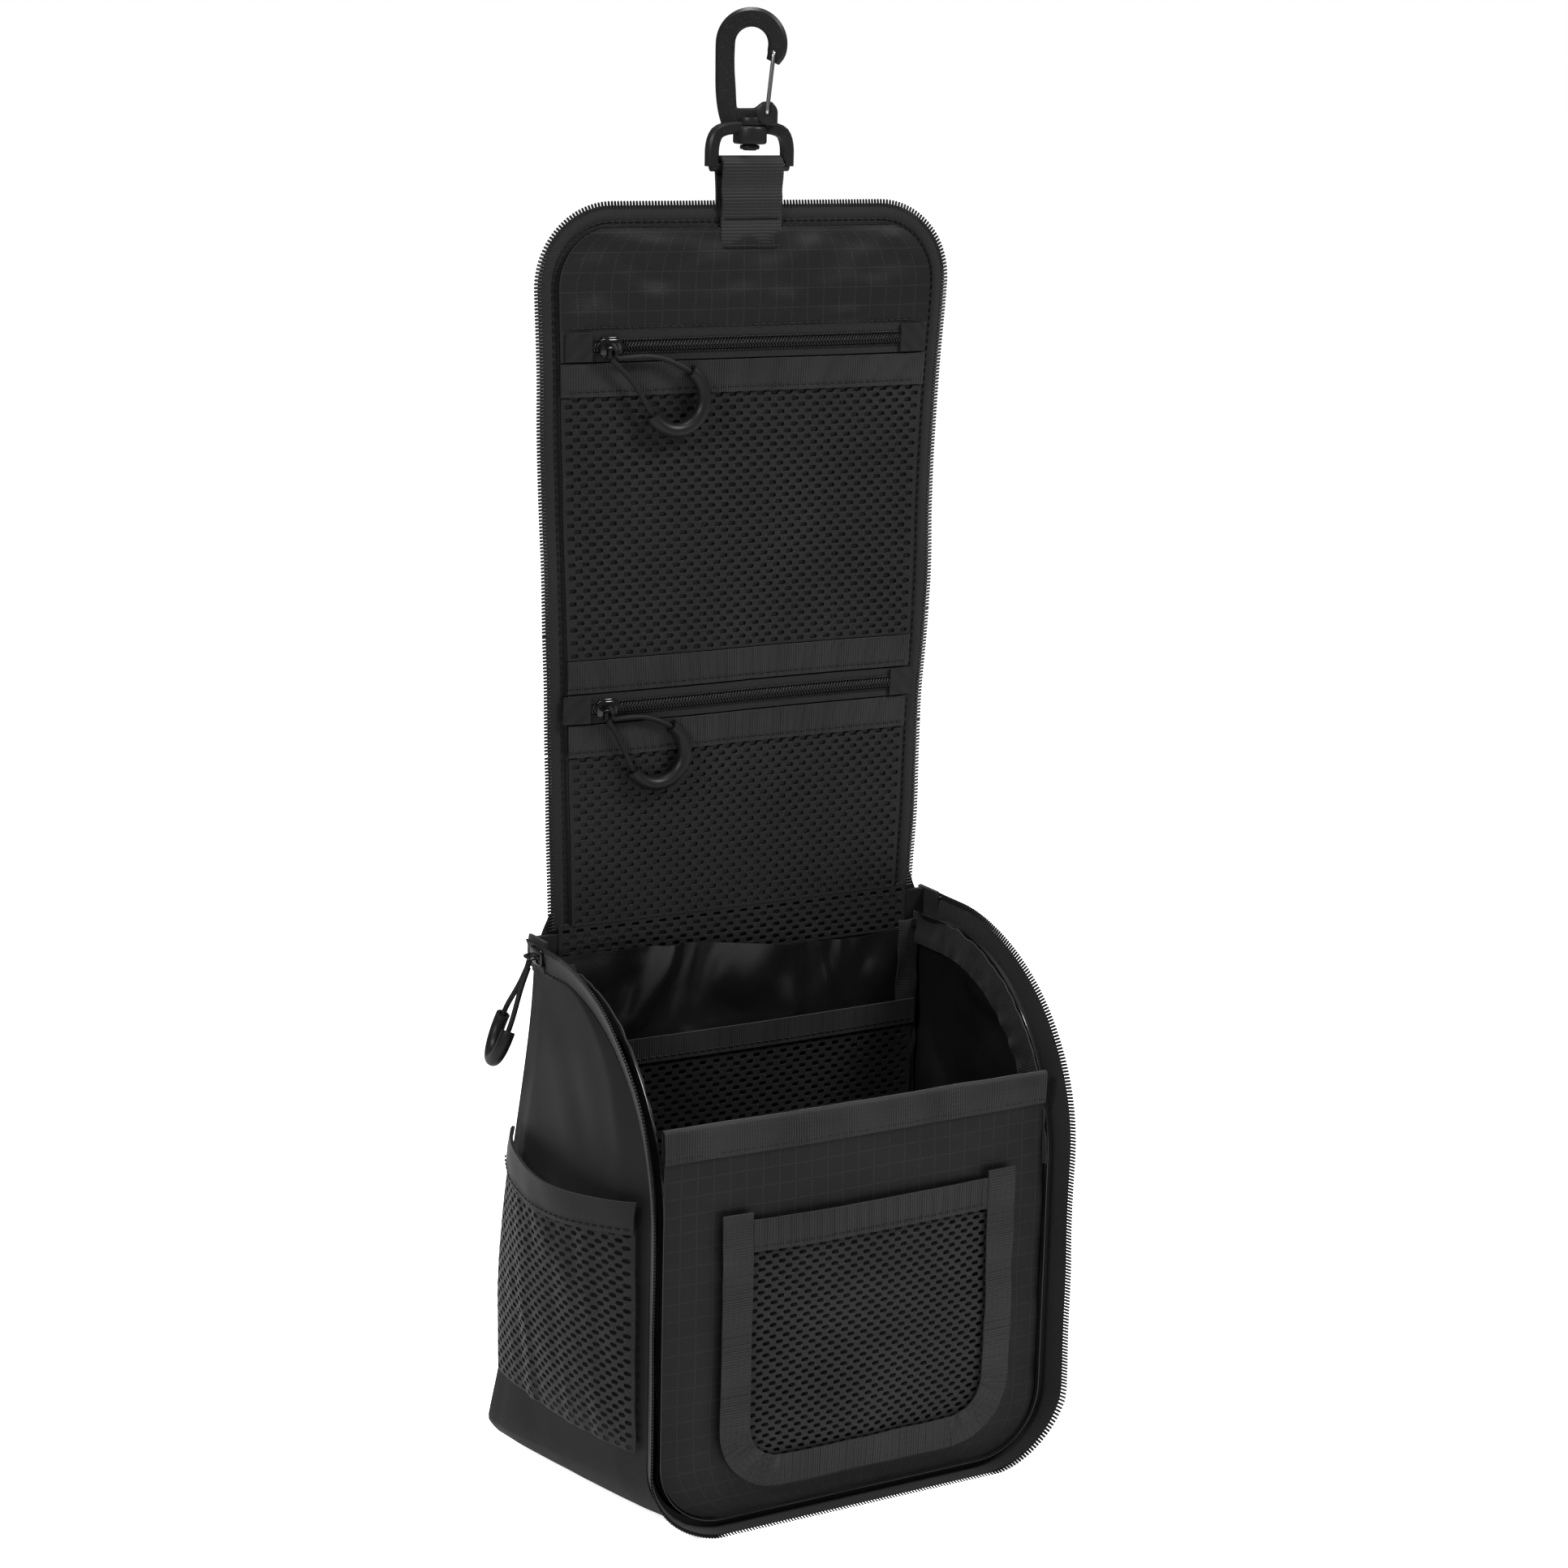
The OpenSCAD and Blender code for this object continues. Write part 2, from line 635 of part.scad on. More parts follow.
// Outline of the front pocket, inset by i
module front_pocket_outline(i, top) {
    for (x = [front_pocket_left + front_pocket_r, front_pocket_right - front_pocket_r])
        translate([x, front_pocket_bottom + front_pocket_r]) circle(r = front_pocket_r - i);
    translate([front_pocket_left + front_pocket_r, front_pocket_bottom + i])
        square([front_pocket_right - front_pocket_left - 2 * front_pocket_r, front_pocket_r]);
    translate([front_pocket_left + i, front_pocket_bottom + front_pocket_r])
        square([front_pocket_right - front_pocket_left - 2 * i, top - front_pocket_bottom - front_pocket_r]);
}
module front_layer(t) {
    translate([0, wall_front_y, 0]) rotate([90, 0, 0]) linear_extrude(t) children();
}
module front_pocket_mesh() {
    color(mesh_black) front_layer(mesh_t)
        front_pocket_outline(grosgrain_w - 1, front_pocket_top - grosgrain_w);
}
module front_pocket_binding() {
    inner = grosgrain_w - 1;
    color(tape_black) front_layer(tape_t)
        translate([front_pocket_left + inner, front_pocket_top - grosgrain_w])
            square([front_pocket_right - front_pocket_left - 2 * inner, grosgrain_w]);
}
module front_pocket_edging() {
    color(tape_black) front_layer(tape_t) difference() {
        front_pocket_outline(0, front_pocket_top + 3);
        front_pocket_outline(grosgrain_w - 1, front_pocket_top + 4);
    }
}
// Bowed side pocket: s is -1 on the left and 1 on the right
module bow(depth, s) {
    half = (pocket_back_y - pocket_front_y) / 2;
    r = (half * half + depth * depth) / (2 * depth);
    intersection() {
        translate([s * (half_w + depth - r), (pocket_back_y + pocket_front_y) / 2]) circle(r = r, $fn = 160);
        translate([s > 0 ? half_w : -half_w - 40, pocket_front_y - 10]) square([40, 2 * half + 20]);
    }
}
module side_mesh(s) {
    floor_z = base_r + 4;
    mesh_h = side_pocket_top - grosgrain_w - floor_z;
    color(mesh_black) translate([0, 0, floor_z]) difference() {
        linear_extrude(mesh_h) bow(side_pocket_bulge, s);
        translate([0, 0, mesh_t]) linear_extrude(mesh_h) bow(side_pocket_bulge - mesh_t, s);
    }
}
module side_elastic(s) {
    color(tape_black) translate([0, 0, side_pocket_top - grosgrain_w]) difference() {
        linear_extrude(grosgrain_w) bow(side_pocket_bulge + 0.2, s);
        translate([0, 0, -1]) linear_extrude(grosgrain_w + 2) bow(side_pocket_bulge + 0.2 - tape_t, s);
    }
}
module side_mesh_left() { side_mesh(-1); }
module side_mesh_right() { side_mesh(1); }
module side_elastic_left() { side_elastic(-1); }
module side_elastic_right() { side_elastic(1); }
// Grosgrain over the inner seam along the arch of each side
module arch_binding(s) {
    color(tape_black) intersection() {
        tub_layer(inside, 1.2, wall_front_y, front_y + arch_r + 6);
        edge_band(3, 13);
        between(front_h + 1, body_h, s < 0 ? -200 : 0, s < 0 ? 0 : 200);
    }
}
module arch_binding_left() { arch_binding(-1); }
module arch_binding_right() { arch_binding(1); }
// Webbing tabs that hold the ends of the main zip at the hinge
module hinge_tabs() {
    for (s = [-1, 1]) color(tape_black)
        translate([s * (half_w - 8) - 10, back_y, body_h - 13]) cube([20, tape_t, 14.5]);
}
module main_slider_left() {
    translate([-half_w, main_slider_y, main_slider_z]) rotate([0, 0, -90]) slider();
}
module main_slider_right() {
    translate([half_w, main_slider_y, main_slider_z]) rotate([0, 0, 90]) slider();
}
module main_pull_cord() {
    route = [for (p = main_route) pull_point(p, main_bail, main_yaw, main_tilt)];
    cord(route, [-sin(main_yaw), cos(main_yaw), 0]);
}
module main_pull_grip() { grip(main_bail, main_yaw, main_tilt, main_grip_at, main_grip_from); }

hook_body();
hook_gate();
swivel_ring();
hanger_strap();
lid_skin_crown();
lid_skin_shoulder_back();
lid_skin_shoulder_front();
lid_skin_front();
lid_lining_crown();
lid_lining_shoulder_back();
lid_lining_shoulder_front();
lid_lining_front();
lid_zip_crown();
lid_zip_shoulder_back();
lid_zip_shoulder_front();
lid_zip_front();
lower_mesh_crown();
lower_mesh_shoulder();
upper_mesh_shoulder();
upper_mesh_front();
lower_grosgrain_below();
lower_grosgrain_above();
upper_grosgrain();
lid_ripstop_panel();
lower_pocket_zip();
upper_pocket_zip();
lower_slider();
upper_slider();
lower_pull_cord();
upper_pull_cord();
lower_pull_grip();
upper_pull_grip();
back_outer();
back_foam();
side_outer_left();
side_outer_right();
base_outer();
body_foam();
body_lining();
front_outer();
front_binding();
body_zip_tape();
body_zip_coil();
inner_pocket_mesh();
inner_pocket_binding();
front_pocket_mesh();
front_pocket_binding();
front_pocket_edging();
side_mesh_left();
side_mesh_right();
side_elastic_left();
side_elastic_right();
arch_binding_left();
arch_binding_right();
hinge_tabs();
main_slider_left();
main_slider_right();
main_pull_cord();
main_pull_grip();
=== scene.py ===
"""Hanging toiletry bag: black nylon, mesh pockets, a zip-round lid and a swivel snap hook."""

import math

import bmesh
import bpy
from mathutils import Matrix, Vector, noise


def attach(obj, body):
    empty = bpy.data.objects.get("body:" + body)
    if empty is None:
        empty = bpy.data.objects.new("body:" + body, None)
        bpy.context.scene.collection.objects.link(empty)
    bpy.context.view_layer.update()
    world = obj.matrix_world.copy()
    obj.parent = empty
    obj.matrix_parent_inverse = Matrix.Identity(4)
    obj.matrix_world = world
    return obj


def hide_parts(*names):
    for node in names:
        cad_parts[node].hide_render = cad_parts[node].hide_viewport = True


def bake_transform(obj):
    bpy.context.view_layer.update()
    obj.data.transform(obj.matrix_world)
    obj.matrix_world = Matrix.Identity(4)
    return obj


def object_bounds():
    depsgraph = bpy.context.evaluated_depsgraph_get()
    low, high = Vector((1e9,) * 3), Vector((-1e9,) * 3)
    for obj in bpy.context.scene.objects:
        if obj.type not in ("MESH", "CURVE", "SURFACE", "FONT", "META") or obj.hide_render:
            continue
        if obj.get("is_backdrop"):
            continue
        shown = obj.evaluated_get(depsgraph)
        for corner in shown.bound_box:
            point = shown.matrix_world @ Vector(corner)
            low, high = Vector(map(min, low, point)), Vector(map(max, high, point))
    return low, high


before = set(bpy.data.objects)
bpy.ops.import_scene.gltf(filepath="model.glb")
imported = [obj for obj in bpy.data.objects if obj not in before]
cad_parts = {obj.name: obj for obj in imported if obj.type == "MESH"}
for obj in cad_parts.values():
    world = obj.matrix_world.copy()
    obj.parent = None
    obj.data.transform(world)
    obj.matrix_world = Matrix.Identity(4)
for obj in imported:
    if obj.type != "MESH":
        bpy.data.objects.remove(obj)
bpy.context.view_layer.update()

# ---- View, floor and light ----
# The open bag is seen from the front left and a little above, with a long lens.
# Large soft panels light it over a pale floor.
MM = 0.001
azimuth, pitch, roll = math.radians(-29.908), math.radians(13.027), math.radians(1.282)
forward = Vector(
    (-math.sin(azimuth) * math.cos(pitch), math.cos(azimuth) * math.cos(pitch), -math.sin(pitch))
)
level = Vector((math.cos(azimuth), math.sin(azimuth), 0))
raised = level.cross(forward)
right = level * math.cos(roll) + raised * math.sin(roll)
above = raised * math.cos(roll) - level * math.sin(roll)
bpy.ops.object.camera_add(location=(-0.5975, -1.0224, 0.5378))
camera = bpy.context.object
camera.rotation_euler = Matrix((right, above, -forward)).transposed().to_euler()
camera.data.lens = 75.77
camera.data.sensor_width = 36
camera.data.clip_end = 40
bpy.context.scene.camera = camera
bpy.context.scene.view_settings.view_transform = "Standard"
bpy.context.scene.view_settings.gamma = 0.84


def sockets(node, **values):
    """Sets a node's inputs by name, with underscores for spaces."""
    for key, value in values.items():
        node.inputs[key.replace("_", " ")].default_value = value


def new_material(name):
    """A material with its nodes: the material, its node tree and its Principled node."""
    material = bpy.data.materials.new(name)
    material.use_nodes = True
    return material, material.node_tree, material.node_tree.nodes["Principled BSDF"]


world = bpy.data.worlds.new("studio")
world.use_nodes = True
seen = world.node_tree.nodes.new("ShaderNodeLightPath")
share = world.node_tree.nodes.new("ShaderNodeMapRange")
sockets(share, To_Min=0.22, To_Max=1.0)
world.node_tree.links.new(seen.outputs["Is Camera Ray"], share.inputs["Value"])
sockets(world.node_tree.nodes["Background"], Color=(1, 1, 1, 1))
world.node_tree.links.new(share.outputs["Result"], world.node_tree.nodes["Background"].inputs["Strength"])
bpy.context.scene.world = world
bpy.ops.mesh.primitive_plane_add(size=30, location=(0, 0, -0.0003))
floor = bpy.context.object
floor.name = "floor"
floor_paint, tree, shader = new_material("floor_paint")
sockets(
    shader, Base_Color=(0.9, 0.9, 0.9, 1), Roughness=0.9, Specular_IOR_Level=0.1,
    Emission_Color=(1, 1, 1, 1)
)
seen = tree.nodes.new("ShaderNodeLightPath")
share = tree.nodes.new("ShaderNodeMapRange")
sockets(share, To_Max=0.86)
tree.links.new(seen.outputs["Is Camera Ray"], share.inputs["Value"])
tree.links.new(share.outputs["Result"], shader.inputs["Emission Strength"])
floor.data.materials.append(floor_paint)
floor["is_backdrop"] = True
for name, place, size, power in (
    ("key_light", (0.8, -0.9, 1.5), 0.5, 24),
    ("side_light", (-1.2, -0.6, 1.1), 0.4, 13),
    ("top_light", (-0.1, 0.1, 1.7), 0.5, 16),
):
    bpy.ops.object.light_add(type="AREA", location=place)
    lamp = bpy.context.object
    lamp.name = name
    lamp.data.size = size
    lamp.data.energy = power
    lamp.rotation_euler = (Vector((0, 0, 0.22)) - Vector(place)).to_track_quat("-Z", "Y").to_euler()
    lamp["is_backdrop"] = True


# ---- Cord pulls ----
# Each pull is a loop of round 2 mm cord, hitched on its slider's bail, with a C of satin
# rubber tube pushed over the cord at the far end.
def grid(name, columns, rows, place, uv=(1, 1)):
    """A sheet of cells whose corners stand where place(u, v) says, in millimetres."""
    bpy.ops.object.select_all(action="DESELECT")
    bpy.ops.mesh.primitive_grid_add(x_subdivisions=columns, y_subdivisions=rows, size=1)
    piece = bpy.context.object
    piece.name = name
    for vertex in piece.data.vertices:
        vertex.co = MM * Vector(place(vertex.co.x + 0.5, vertex.co.y + 0.5))
    for corner in piece.data.uv_layers[0].data:
        corner.uv = (corner.uv[0] * uv[0] * MM, corner.uv[1] * uv[1] * MM)
    return piece


def edit(piece, *steps):
    """Runs mesh steps, each with its settings, on the whole of a piece."""
    bpy.ops.object.select_all(action="DESELECT")
    piece.select_set(True)
    bpy.context.view_layer.objects.active = piece
    bpy.ops.object.mode_set(mode="EDIT")
    for step, settings in steps:
        bpy.ops.mesh.select_all(action="SELECT")
        step(**settings)
    bpy.ops.object.mode_set(mode="OBJECT")


def smooth(piece, angle=45):
    bpy.ops.object.select_all(action="DESELECT")
    piece.select_set(True)
    bpy.context.view_layer.objects.active = piece
    bpy.ops.object.shade_smooth_by_angle(angle=math.radians(angle))
    return piece


def modify(piece, kind, **settings):
    """Adds a modifier and applies it."""
    bpy.ops.object.select_all(action="DESELECT")
    piece.select_set(True)
    bpy.context.view_layer.objects.active = piece
    modifier = piece.modifiers.new(kind, kind)
    for key, value in settings.items():
        setattr(modifier, key, value)
    bpy.ops.object.modifier_apply(modifier=modifier.name)
    return piece


def sweep(name, path, section, facing, uv=(1, 1)):
    """A closed section, (across, outwards) in mm, drawn along a path and capped at its ends."""
    spans, sides = len(path) - 1, len(section(0))

    def place(u, v):
        k, j = round(u * spans), round(v * sides) % sides
        ahead = (Vector(path[min(k + 1, spans)]) - Vector(path[max(k - 1, 0)])).normalized()
        across = ahead.cross(Vector(facing)).normalized()
        width, height = section(k)[j]
        return Vector(path[k]) + across * width + across.cross(ahead) * height

    piece = grid(name, spans, sides, place, uv)
    edit(
        piece,
        (bpy.ops.mesh.remove_doubles, {"threshold": 1e-6}),
        (bpy.ops.mesh.fill_holes, {"sides": 0}),
        (bpy.ops.mesh.normals_make_consistent, {}),
    )
    return smooth(piece)


def disc(radius, sides=10):
    turns = [math.tau * k / sides for k in range(sides)]
    return [(radius * math.cos(a), radius * math.sin(a)) for a in turns]


def rounded(points, times=2):
    """A smoother path through the same points, by cutting its corners."""
    points = [Vector(p) for p in points]
    for _ in range(times):
        cut = [points[0]]
        for a, b in zip(points, points[1:]):
            cut += [a * 0.75 + b * 0.25, a * 0.25 + b * 0.75]
        points = cut + [points[-1]]
    return points


def join(name, pieces):
    """Several meshes made into one piece."""
    bpy.ops.object.select_all(action="DESELECT")
    for piece in pieces:
        piece.select_set(True)
    bpy.context.view_layer.objects.active = pieces[0]
    bpy.ops.object.join()
    pieces[0].name = name
    return pieces[0]


def settle(piece):
    """Writes a piece's place into its mesh, so that it stands at the origin untransformed."""
    bpy.ops.object.select_all(action="DESELECT")
    piece.select_set(True)
    bpy.context.view_layer.objects.active = piece
    bpy.ops.object.transform_apply(location=True, rotation=True, scale=True)
    return piece


def dress(piece, material, slot, body, *nodes):
    """Gives a piece its material, body (None if it bends) and the CAD nodes it stands for; slot is not used.
    """
    piece.data.materials.clear()
    piece.data.materials.append(material)
    if body:
        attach(piece, body)
    if nodes:
        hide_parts(*nodes)
    return piece


def group(name, inputs, outputs):
    """An empty node group with its sockets: the tree, its input node and its output node."""
    tree = bpy.data.node_groups.new(name, "ShaderNodeTree")
    for key, kind in inputs:
        tree.interface.new_socket(key, in_out="INPUT", socket_type="NodeSocket" + kind)
    for key, kind in outputs:
        tree.interface.new_socket(key, in_out="OUTPUT", socket_type="NodeSocket" + kind)
    return tree, tree.nodes.new("NodeGroupInput"), tree.nodes.new("NodeGroupOutput")


def calculate(tree, operation, *terms):
    """A Math node; each term is a number or another node's output."""
    node = tree.nodes.new("ShaderNodeMath")
    node.operation = operation
    for socket, term in zip(node.inputs, terms):
        if isinstance(term, (int, float)):
            socket.default_value = term
        else:
            tree.links.new(term, socket)
    return node.outputs[0]


# Threads of a woven cloth: a height from 0 to 1, with Slant turning plain weave into twill.
weave, given, made = group(
    "threads", [("Vector", "Vector"), ("Pitch", "Float"), ("Slant", "Float")], [("Height", "Float")]
)
parts = weave.nodes.new("ShaderNodeSeparateXYZ")
weave.links.new(given.outputs["Vector"], parts.inputs[0])
along = calculate(weave, "DIVIDE", parts.outputs["X"], given.outputs["Pitch"])
over = calculate(weave, "DIVIDE", parts.outputs["Y"], given.outputs["Pitch"])
lean = calculate(weave, "MULTIPLY_ADD", over, given.outputs["Slant"], along)
warp = calculate(weave, "SINE", calculate(weave, "MULTIPLY", lean, math.tau))
weft = calculate(weave, "SINE", calculate(weave, "MULTIPLY", over, math.tau))
both = calculate(weave, "MULTIPLY", warp, weft)
weave.links.new(
    calculate(weave, "MULTIPLY_ADD", calculate(weave, "ADD", both, warp), 0.25, 0.5),
    made.inputs["Height"]
)

# Thick threads of ripstop: dotted lines that cross at a pitch.
lines, given, made = group("ripstop_grid", [("Vector", "Vector"), ("Pitch", "Float")], [("Lines", "Float")])
parts = lines.nodes.new("ShaderNodeSeparateXYZ")
lines.links.new(given.outputs["Vector"], parts.inputs[0])
both = []
for axis, other in (("X", "Y"), ("Y", "X")):
    share = calculate(lines, "FRACT", calculate(lines, "DIVIDE", parts.outputs[axis], given.outputs["Pitch"]))
    line = calculate(lines, "LESS_THAN", share, 0.085)
    dots = calculate(lines, "SINE", calculate(lines, "MULTIPLY", parts.outputs[other], math.tau / 0.0011))
    both.append(calculate(lines, "MULTIPLY", line, calculate(lines, "MULTIPLY_ADD", dots, 0.5, 0.5)))
lines.links.new(calculate(lines, "MAXIMUM", both[0], both[1]), made.inputs["Lines"])

# Wear: uneven dye and fine lint.
wear, given, made = group(
    "wear", [("Vector", "Vector"), ("Size", "Float")], [("Cloud", "Float"), ("Lint", "Float")]
)
for size, key, low, high in ((1, "Cloud", 0.3, 0.7), (60, "Lint", 0.62, 0.75)):
    speck = wear.nodes.new("ShaderNodeTexNoise")
    sockets(speck, Detail=3.0, Roughness=0.6)
    wear.links.new(given.outputs["Vector"], speck.inputs["Vector"])
    wear.links.new(calculate(wear, "MULTIPLY", given.outputs["Size"], size), speck.inputs["Scale"])
    fit = wear.nodes.new("ShaderNodeMapRange")
    sockets(fit, From_Min=low, From_Max=high)
    wear.links.new(speck.outputs["Fac"], fit.inputs["Value"])
    wear.links.new(fit.outputs["Result"], made.inputs[key])


def paint(
    name, dark, pale, roughness, pitch=0.0, slant=0.0, grid_pitch=0.0, bump=0.3, depth=0.00015, **values
):
    """A material between two greys: woven where it has a pitch, gridded where it has a grid pitch. Where
    woven, the thread height also paints shade in the weave's hollows and highlight on its crests.
    """
    material, tree, principled = new_material(name)
    place = tree.nodes.new("ShaderNodeTexCoord")
    spots = tree.nodes.new("ShaderNodeGroup")
    spots.node_tree = wear
    sockets(spots, Size=25.0)
    tree.links.new(place.outputs["Object"], spots.inputs["Vector"])
    mask = calculate(
        tree, "MULTIPLY_ADD", spots.outputs["Lint"], 0.2,
        calculate(tree, "MULTIPLY", spots.outputs["Cloud"], 0.2)
    )
    height = spots.outputs["Lint"]
    if pitch:
        threads = tree.nodes.new("ShaderNodeGroup")
        threads.node_tree = weave
        sockets(threads, Pitch=pitch, Slant=slant)
        tree.links.new(place.outputs["UV"], threads.inputs["Vector"])
        height = threads.outputs["Height"]
        # Painted shade and highlight: the thread height darkens the weave's hollows and lightens its crests.
        mask = calculate(tree, "MULTIPLY_ADD", height, 0.45, mask)
    if grid_pitch:
        crossing = tree.nodes.new("ShaderNodeGroup")
        crossing.node_tree = lines
        sockets(crossing, Pitch=grid_pitch)
        tree.links.new(place.outputs["UV"], crossing.inputs["Vector"])
        mask = calculate(tree, "MULTIPLY_ADD", crossing.outputs["Lines"], 0.9, mask)
        height = calculate(tree, "ADD", height, crossing.outputs["Lines"])
    tone = tree.nodes.new("ShaderNodeMix")
    tone.data_type = "RGBA"
    tone.clamp_factor = False
    tone.inputs[6].default_value = (dark, dark, dark * 1.02, 1)
    tone.inputs[7].default_value = (pale, pale, pale * 1.03, 1)
    tree.links.new(mask, tone.inputs[0])
    tree.links.new(tone.outputs[2], principled.inputs["Base Color"])
    relief = tree.nodes.new("ShaderNodeBump")
    sockets(relief, Strength=bump, Distance=depth)
    tree.links.new(height, relief.inputs["Height"])
    tree.links.new(relief.outputs["Normal"], principled.inputs["Normal"])
    sockets(principled, **{"Roughness": roughness, "Specular_IOR_Level": 0.3, **values})
    return material


cord_black = paint("cord_black", 0.0048, 0.0275, 0.55, pitch=0.0009, slant=1.0, bump=0.8)
grip_black = paint("grip_black", 0.012, 0.03, 0.42)
slider_black = paint("slider_black", 0.006, 0.01, 0.12, bump=0.05, Specular_IOR_Level=0.8)
pulls = {
    "upper": (
        (-58, 45.8, 421.439), 0, 0, "upper_pull", "upper_slider",
        [[1.3, -3.9], [6, -3.8], [11, -3.5], [16, -3.7], [21.3, -4.8], [26.6, -7], [31.7, -9.6], [36, -13.8],
         [37.5, -19.5], [36, -25.2], [31.8, -29.5], [26, -31], [20.2, -29.5], [16, -25.2], [13.4, -20.7],
         [10.6, -16.2], [7.4, -11.9], [3.4, -8.1], [-1, -4.1]],
    ),
    "lower": (
        (-58, 45.8, 288.119), 0, 0, "lower_pull", "lower_slider",
        [[1.3, -3.9], [5.6, -3.7], [10.4, -3.6], [15.4, -4.2], [20.6, -6], [25.7, -8.6], [30, -12.8],
         [31.5, -18.5], [30, -24.2], [25.8, -28.5], [20, -30], [14.2, -28.5], [10, -24.2], [7.6, -19.4],
         [5.2, -14.2], [2.6, -9], [-1, -4]],
    ),
    "main": (
        (-90.2, 44, 197.6), 70, 21, "main_pull", "bag",
        [[-1.3, -4], [-1.6, -7], [-2.6, -10.9], [-4.8, -15.1], [-7.9, -19.2], [-10.3, -23.2], [-11.1, -27],
         [-11.1, -33], [-8.1, -38.1], [-3, -41.1], [3, -41.1], [8.1, -38.1], [11.1, -33], [11.1, -27],
         [10.3, -23.2], [7.9, -19.2], [4.8, -15.1], [2.6, -10.9], [1.6, -7], [1.3, -4]],
    ),
}
for name, (bail, yaw, tilt, body, _, route) in pulls.items():
    turn = Matrix.Rotation(math.radians(yaw), 3, "Z") @ Matrix.Rotation(math.radians(tilt), 3, "X")
    line = [Vector(bail) + turn @ Vector((x, 0, z)) for x, z in rounded([[*p] for p in route], 1)]
    length = sum((b - a).length for a, b in zip(line, line[1:])) * MM
    loop = sweep(f"{name}_cord", line, lambda k: disc(1.0), turn @ Vector((0, 1, 0)), (length * 1000, 6.3))
    dress(loop, cord_black, "pull_cord", body, f"{name}_pull_cord")
    knot = [(-1.1, 0.2, -4.2), (-1.2, 0.5, -1.5), (-1.1, -0.2, 0.7), (-1, -2.6, 1.2), (-0.6, -3.4, -0.8)]
    knot += [(0.6, -3.4, -0.8), (1, -2.6, 1.2), (1.1, -0.2, 0.7), (1.3, 0.5, -1.5), (1.3, 0.2, -4.2)]
    hitch_line = [
        Vector(bail) + turn @ Vector((x, y, z))
        for x, y, z in rounded(knot, 2)
    ]
    hitch = sweep(f"{name}_hitch", hitch_line, lambda k: disc(0.85), turn @ Vector((1, 0, 0.01)), (30, 5))
    dress(hitch, cord_black, "pull_cord", body)
    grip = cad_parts[f"{name}_pull_grip"]
    grip.data.materials.clear()
    grip.data.materials.append(grip_black)


# ---- Zip sliders ----
# Four die-cast sliders with a glossy black coat: a waisted plate over the coil, side
# flanges and a bail. One is modelled and the others are copies.
def stand(position, ahead, outward, size=(1, 1, 1)):
    """A place in metres for a copy: its x runs ahead and its z stands outward."""
    x = Vector(ahead).normalized()
    y = Vector(outward).cross(x).normalized()
    turned = Matrix((x, y, x.cross(y))).transposed().to_4x4()
    return Matrix.Translation(MM * Vector(position)) @ turned @ Matrix.Diagonal((*size, 1))


def copies(name, master, places):
    """One mesh with the master's own shape at every place."""
    joined = bmesh.new()
    for place in places:
        shape = master.data.copy()
        shape.transform(place)
        joined.from_mesh(shape)
        bpy.data.meshes.remove(shape)
    piece = bpy.data.objects.new(name, bpy.data.meshes.new(name))
    joined.to_mesh(piece.data)
    joined.free()
    bpy.context.collection.objects.link(piece)
    return piece


def block(size, centre, bevel, segments=2):
    """A cube of a size at a centre, in mm, with rounded edges."""
    bpy.ops.object.select_all(action="DESELECT")
    bpy.ops.mesh.primitive_cube_add(size=1, location=[MM * c for c in centre])
    piece = bpy.context.object
    piece.scale = [MM * s for s in size]
    settle(piece)
    modify(piece, "BEVEL", width=bevel * MM, segments=segments)
    return piece


plate = block((9, 7.4, 1.5), (0, 0, 3.25), 0.7, 3)
for vertex in plate.data.vertices:
    share = abs(vertex.co.x) / 0.0045
    vertex.co.y *= 1 - 0.28 * share**3
flanges = [block((6.4, 1.0, 2.0), (0, s * 3.2, 2.1), 0.35) for s in (-1, 1)]
arch = [
    (-2.9, 0, 3.8), (-2.9, 0, 5.6), (-2.3, 0, 6.9), (0, 0, 7.3), (2.3, 0, 6.9), (2.9, 0, 5.6),
    (2.9, 0, 3.8)
]
bail_loop = sweep("bail", rounded(arch, 2), lambda k: [(1.6 * x, y) for x, y in disc(0.6)], (0, 1, 0))
slider_master = smooth(join("slider_master", [plate, *flanges, bail_loop]), 50)
slider_spots = {
    "upper_slider": ((-58, 51, 421.439), (1, 0, 0), (0, -1, 0), "upper_slider"),
    "lower_slider": ((-58, 51, 288.119), (1, 0, 0), (0, -1, 0), "lower_slider"),
    "main_slider_left": ((-85, 44, 197.6), (0, -1, 0), (-1, 0, 0), "bag"),
    "main_slider_right": ((85, 44, 197.6), (0, -1, 0), (1, 0, 0), "bag"),
}
for name, (spot, ahead, outward, body) in slider_spots.items():
    slider = smooth(copies(f"{name}_cast", slider_master, [stand(spot, ahead, outward)]), 50)
    dress(slider, slider_black, "slider_metal", body, name)
bpy.data.objects.remove(slider_master)

# ---- Snap hook ----
# One moulding in satin, lightly textured plastic: a thick open eye, a nose with a notch
# for the gate, a web at the knuckle and a collar over the stem.
hook_z = 500.139
turn = Matrix.Rotation(math.radians(-30), 3, "Z")
hook_plastic = paint("hook_plastic", 0.014, 0.05, 0.36, bump=0.5, depth=0.0003)


def hook_place(x, y, z):
    return turn @ Vector((x, y, 0)) + Vector((0, 52, hook_z + z))


spine = [(-7.2, 0.3, 3.2), (-8.6, 6, 3.5), (-9.2, 13, 3.7), (-9.6, 21, 3.4)]
spine += [
    (-9.6 * math.cos(math.radians(a)), 29.1 + 9.6 * math.sin(math.radians(a)), 3.5) for a in range(0, 196, 15)
]
spine += [(8.9, 25.2, 3.2), (7.8, 22.8, 2.5)]
line = rounded([(x, z, w) for x, z, w in spine], 2)


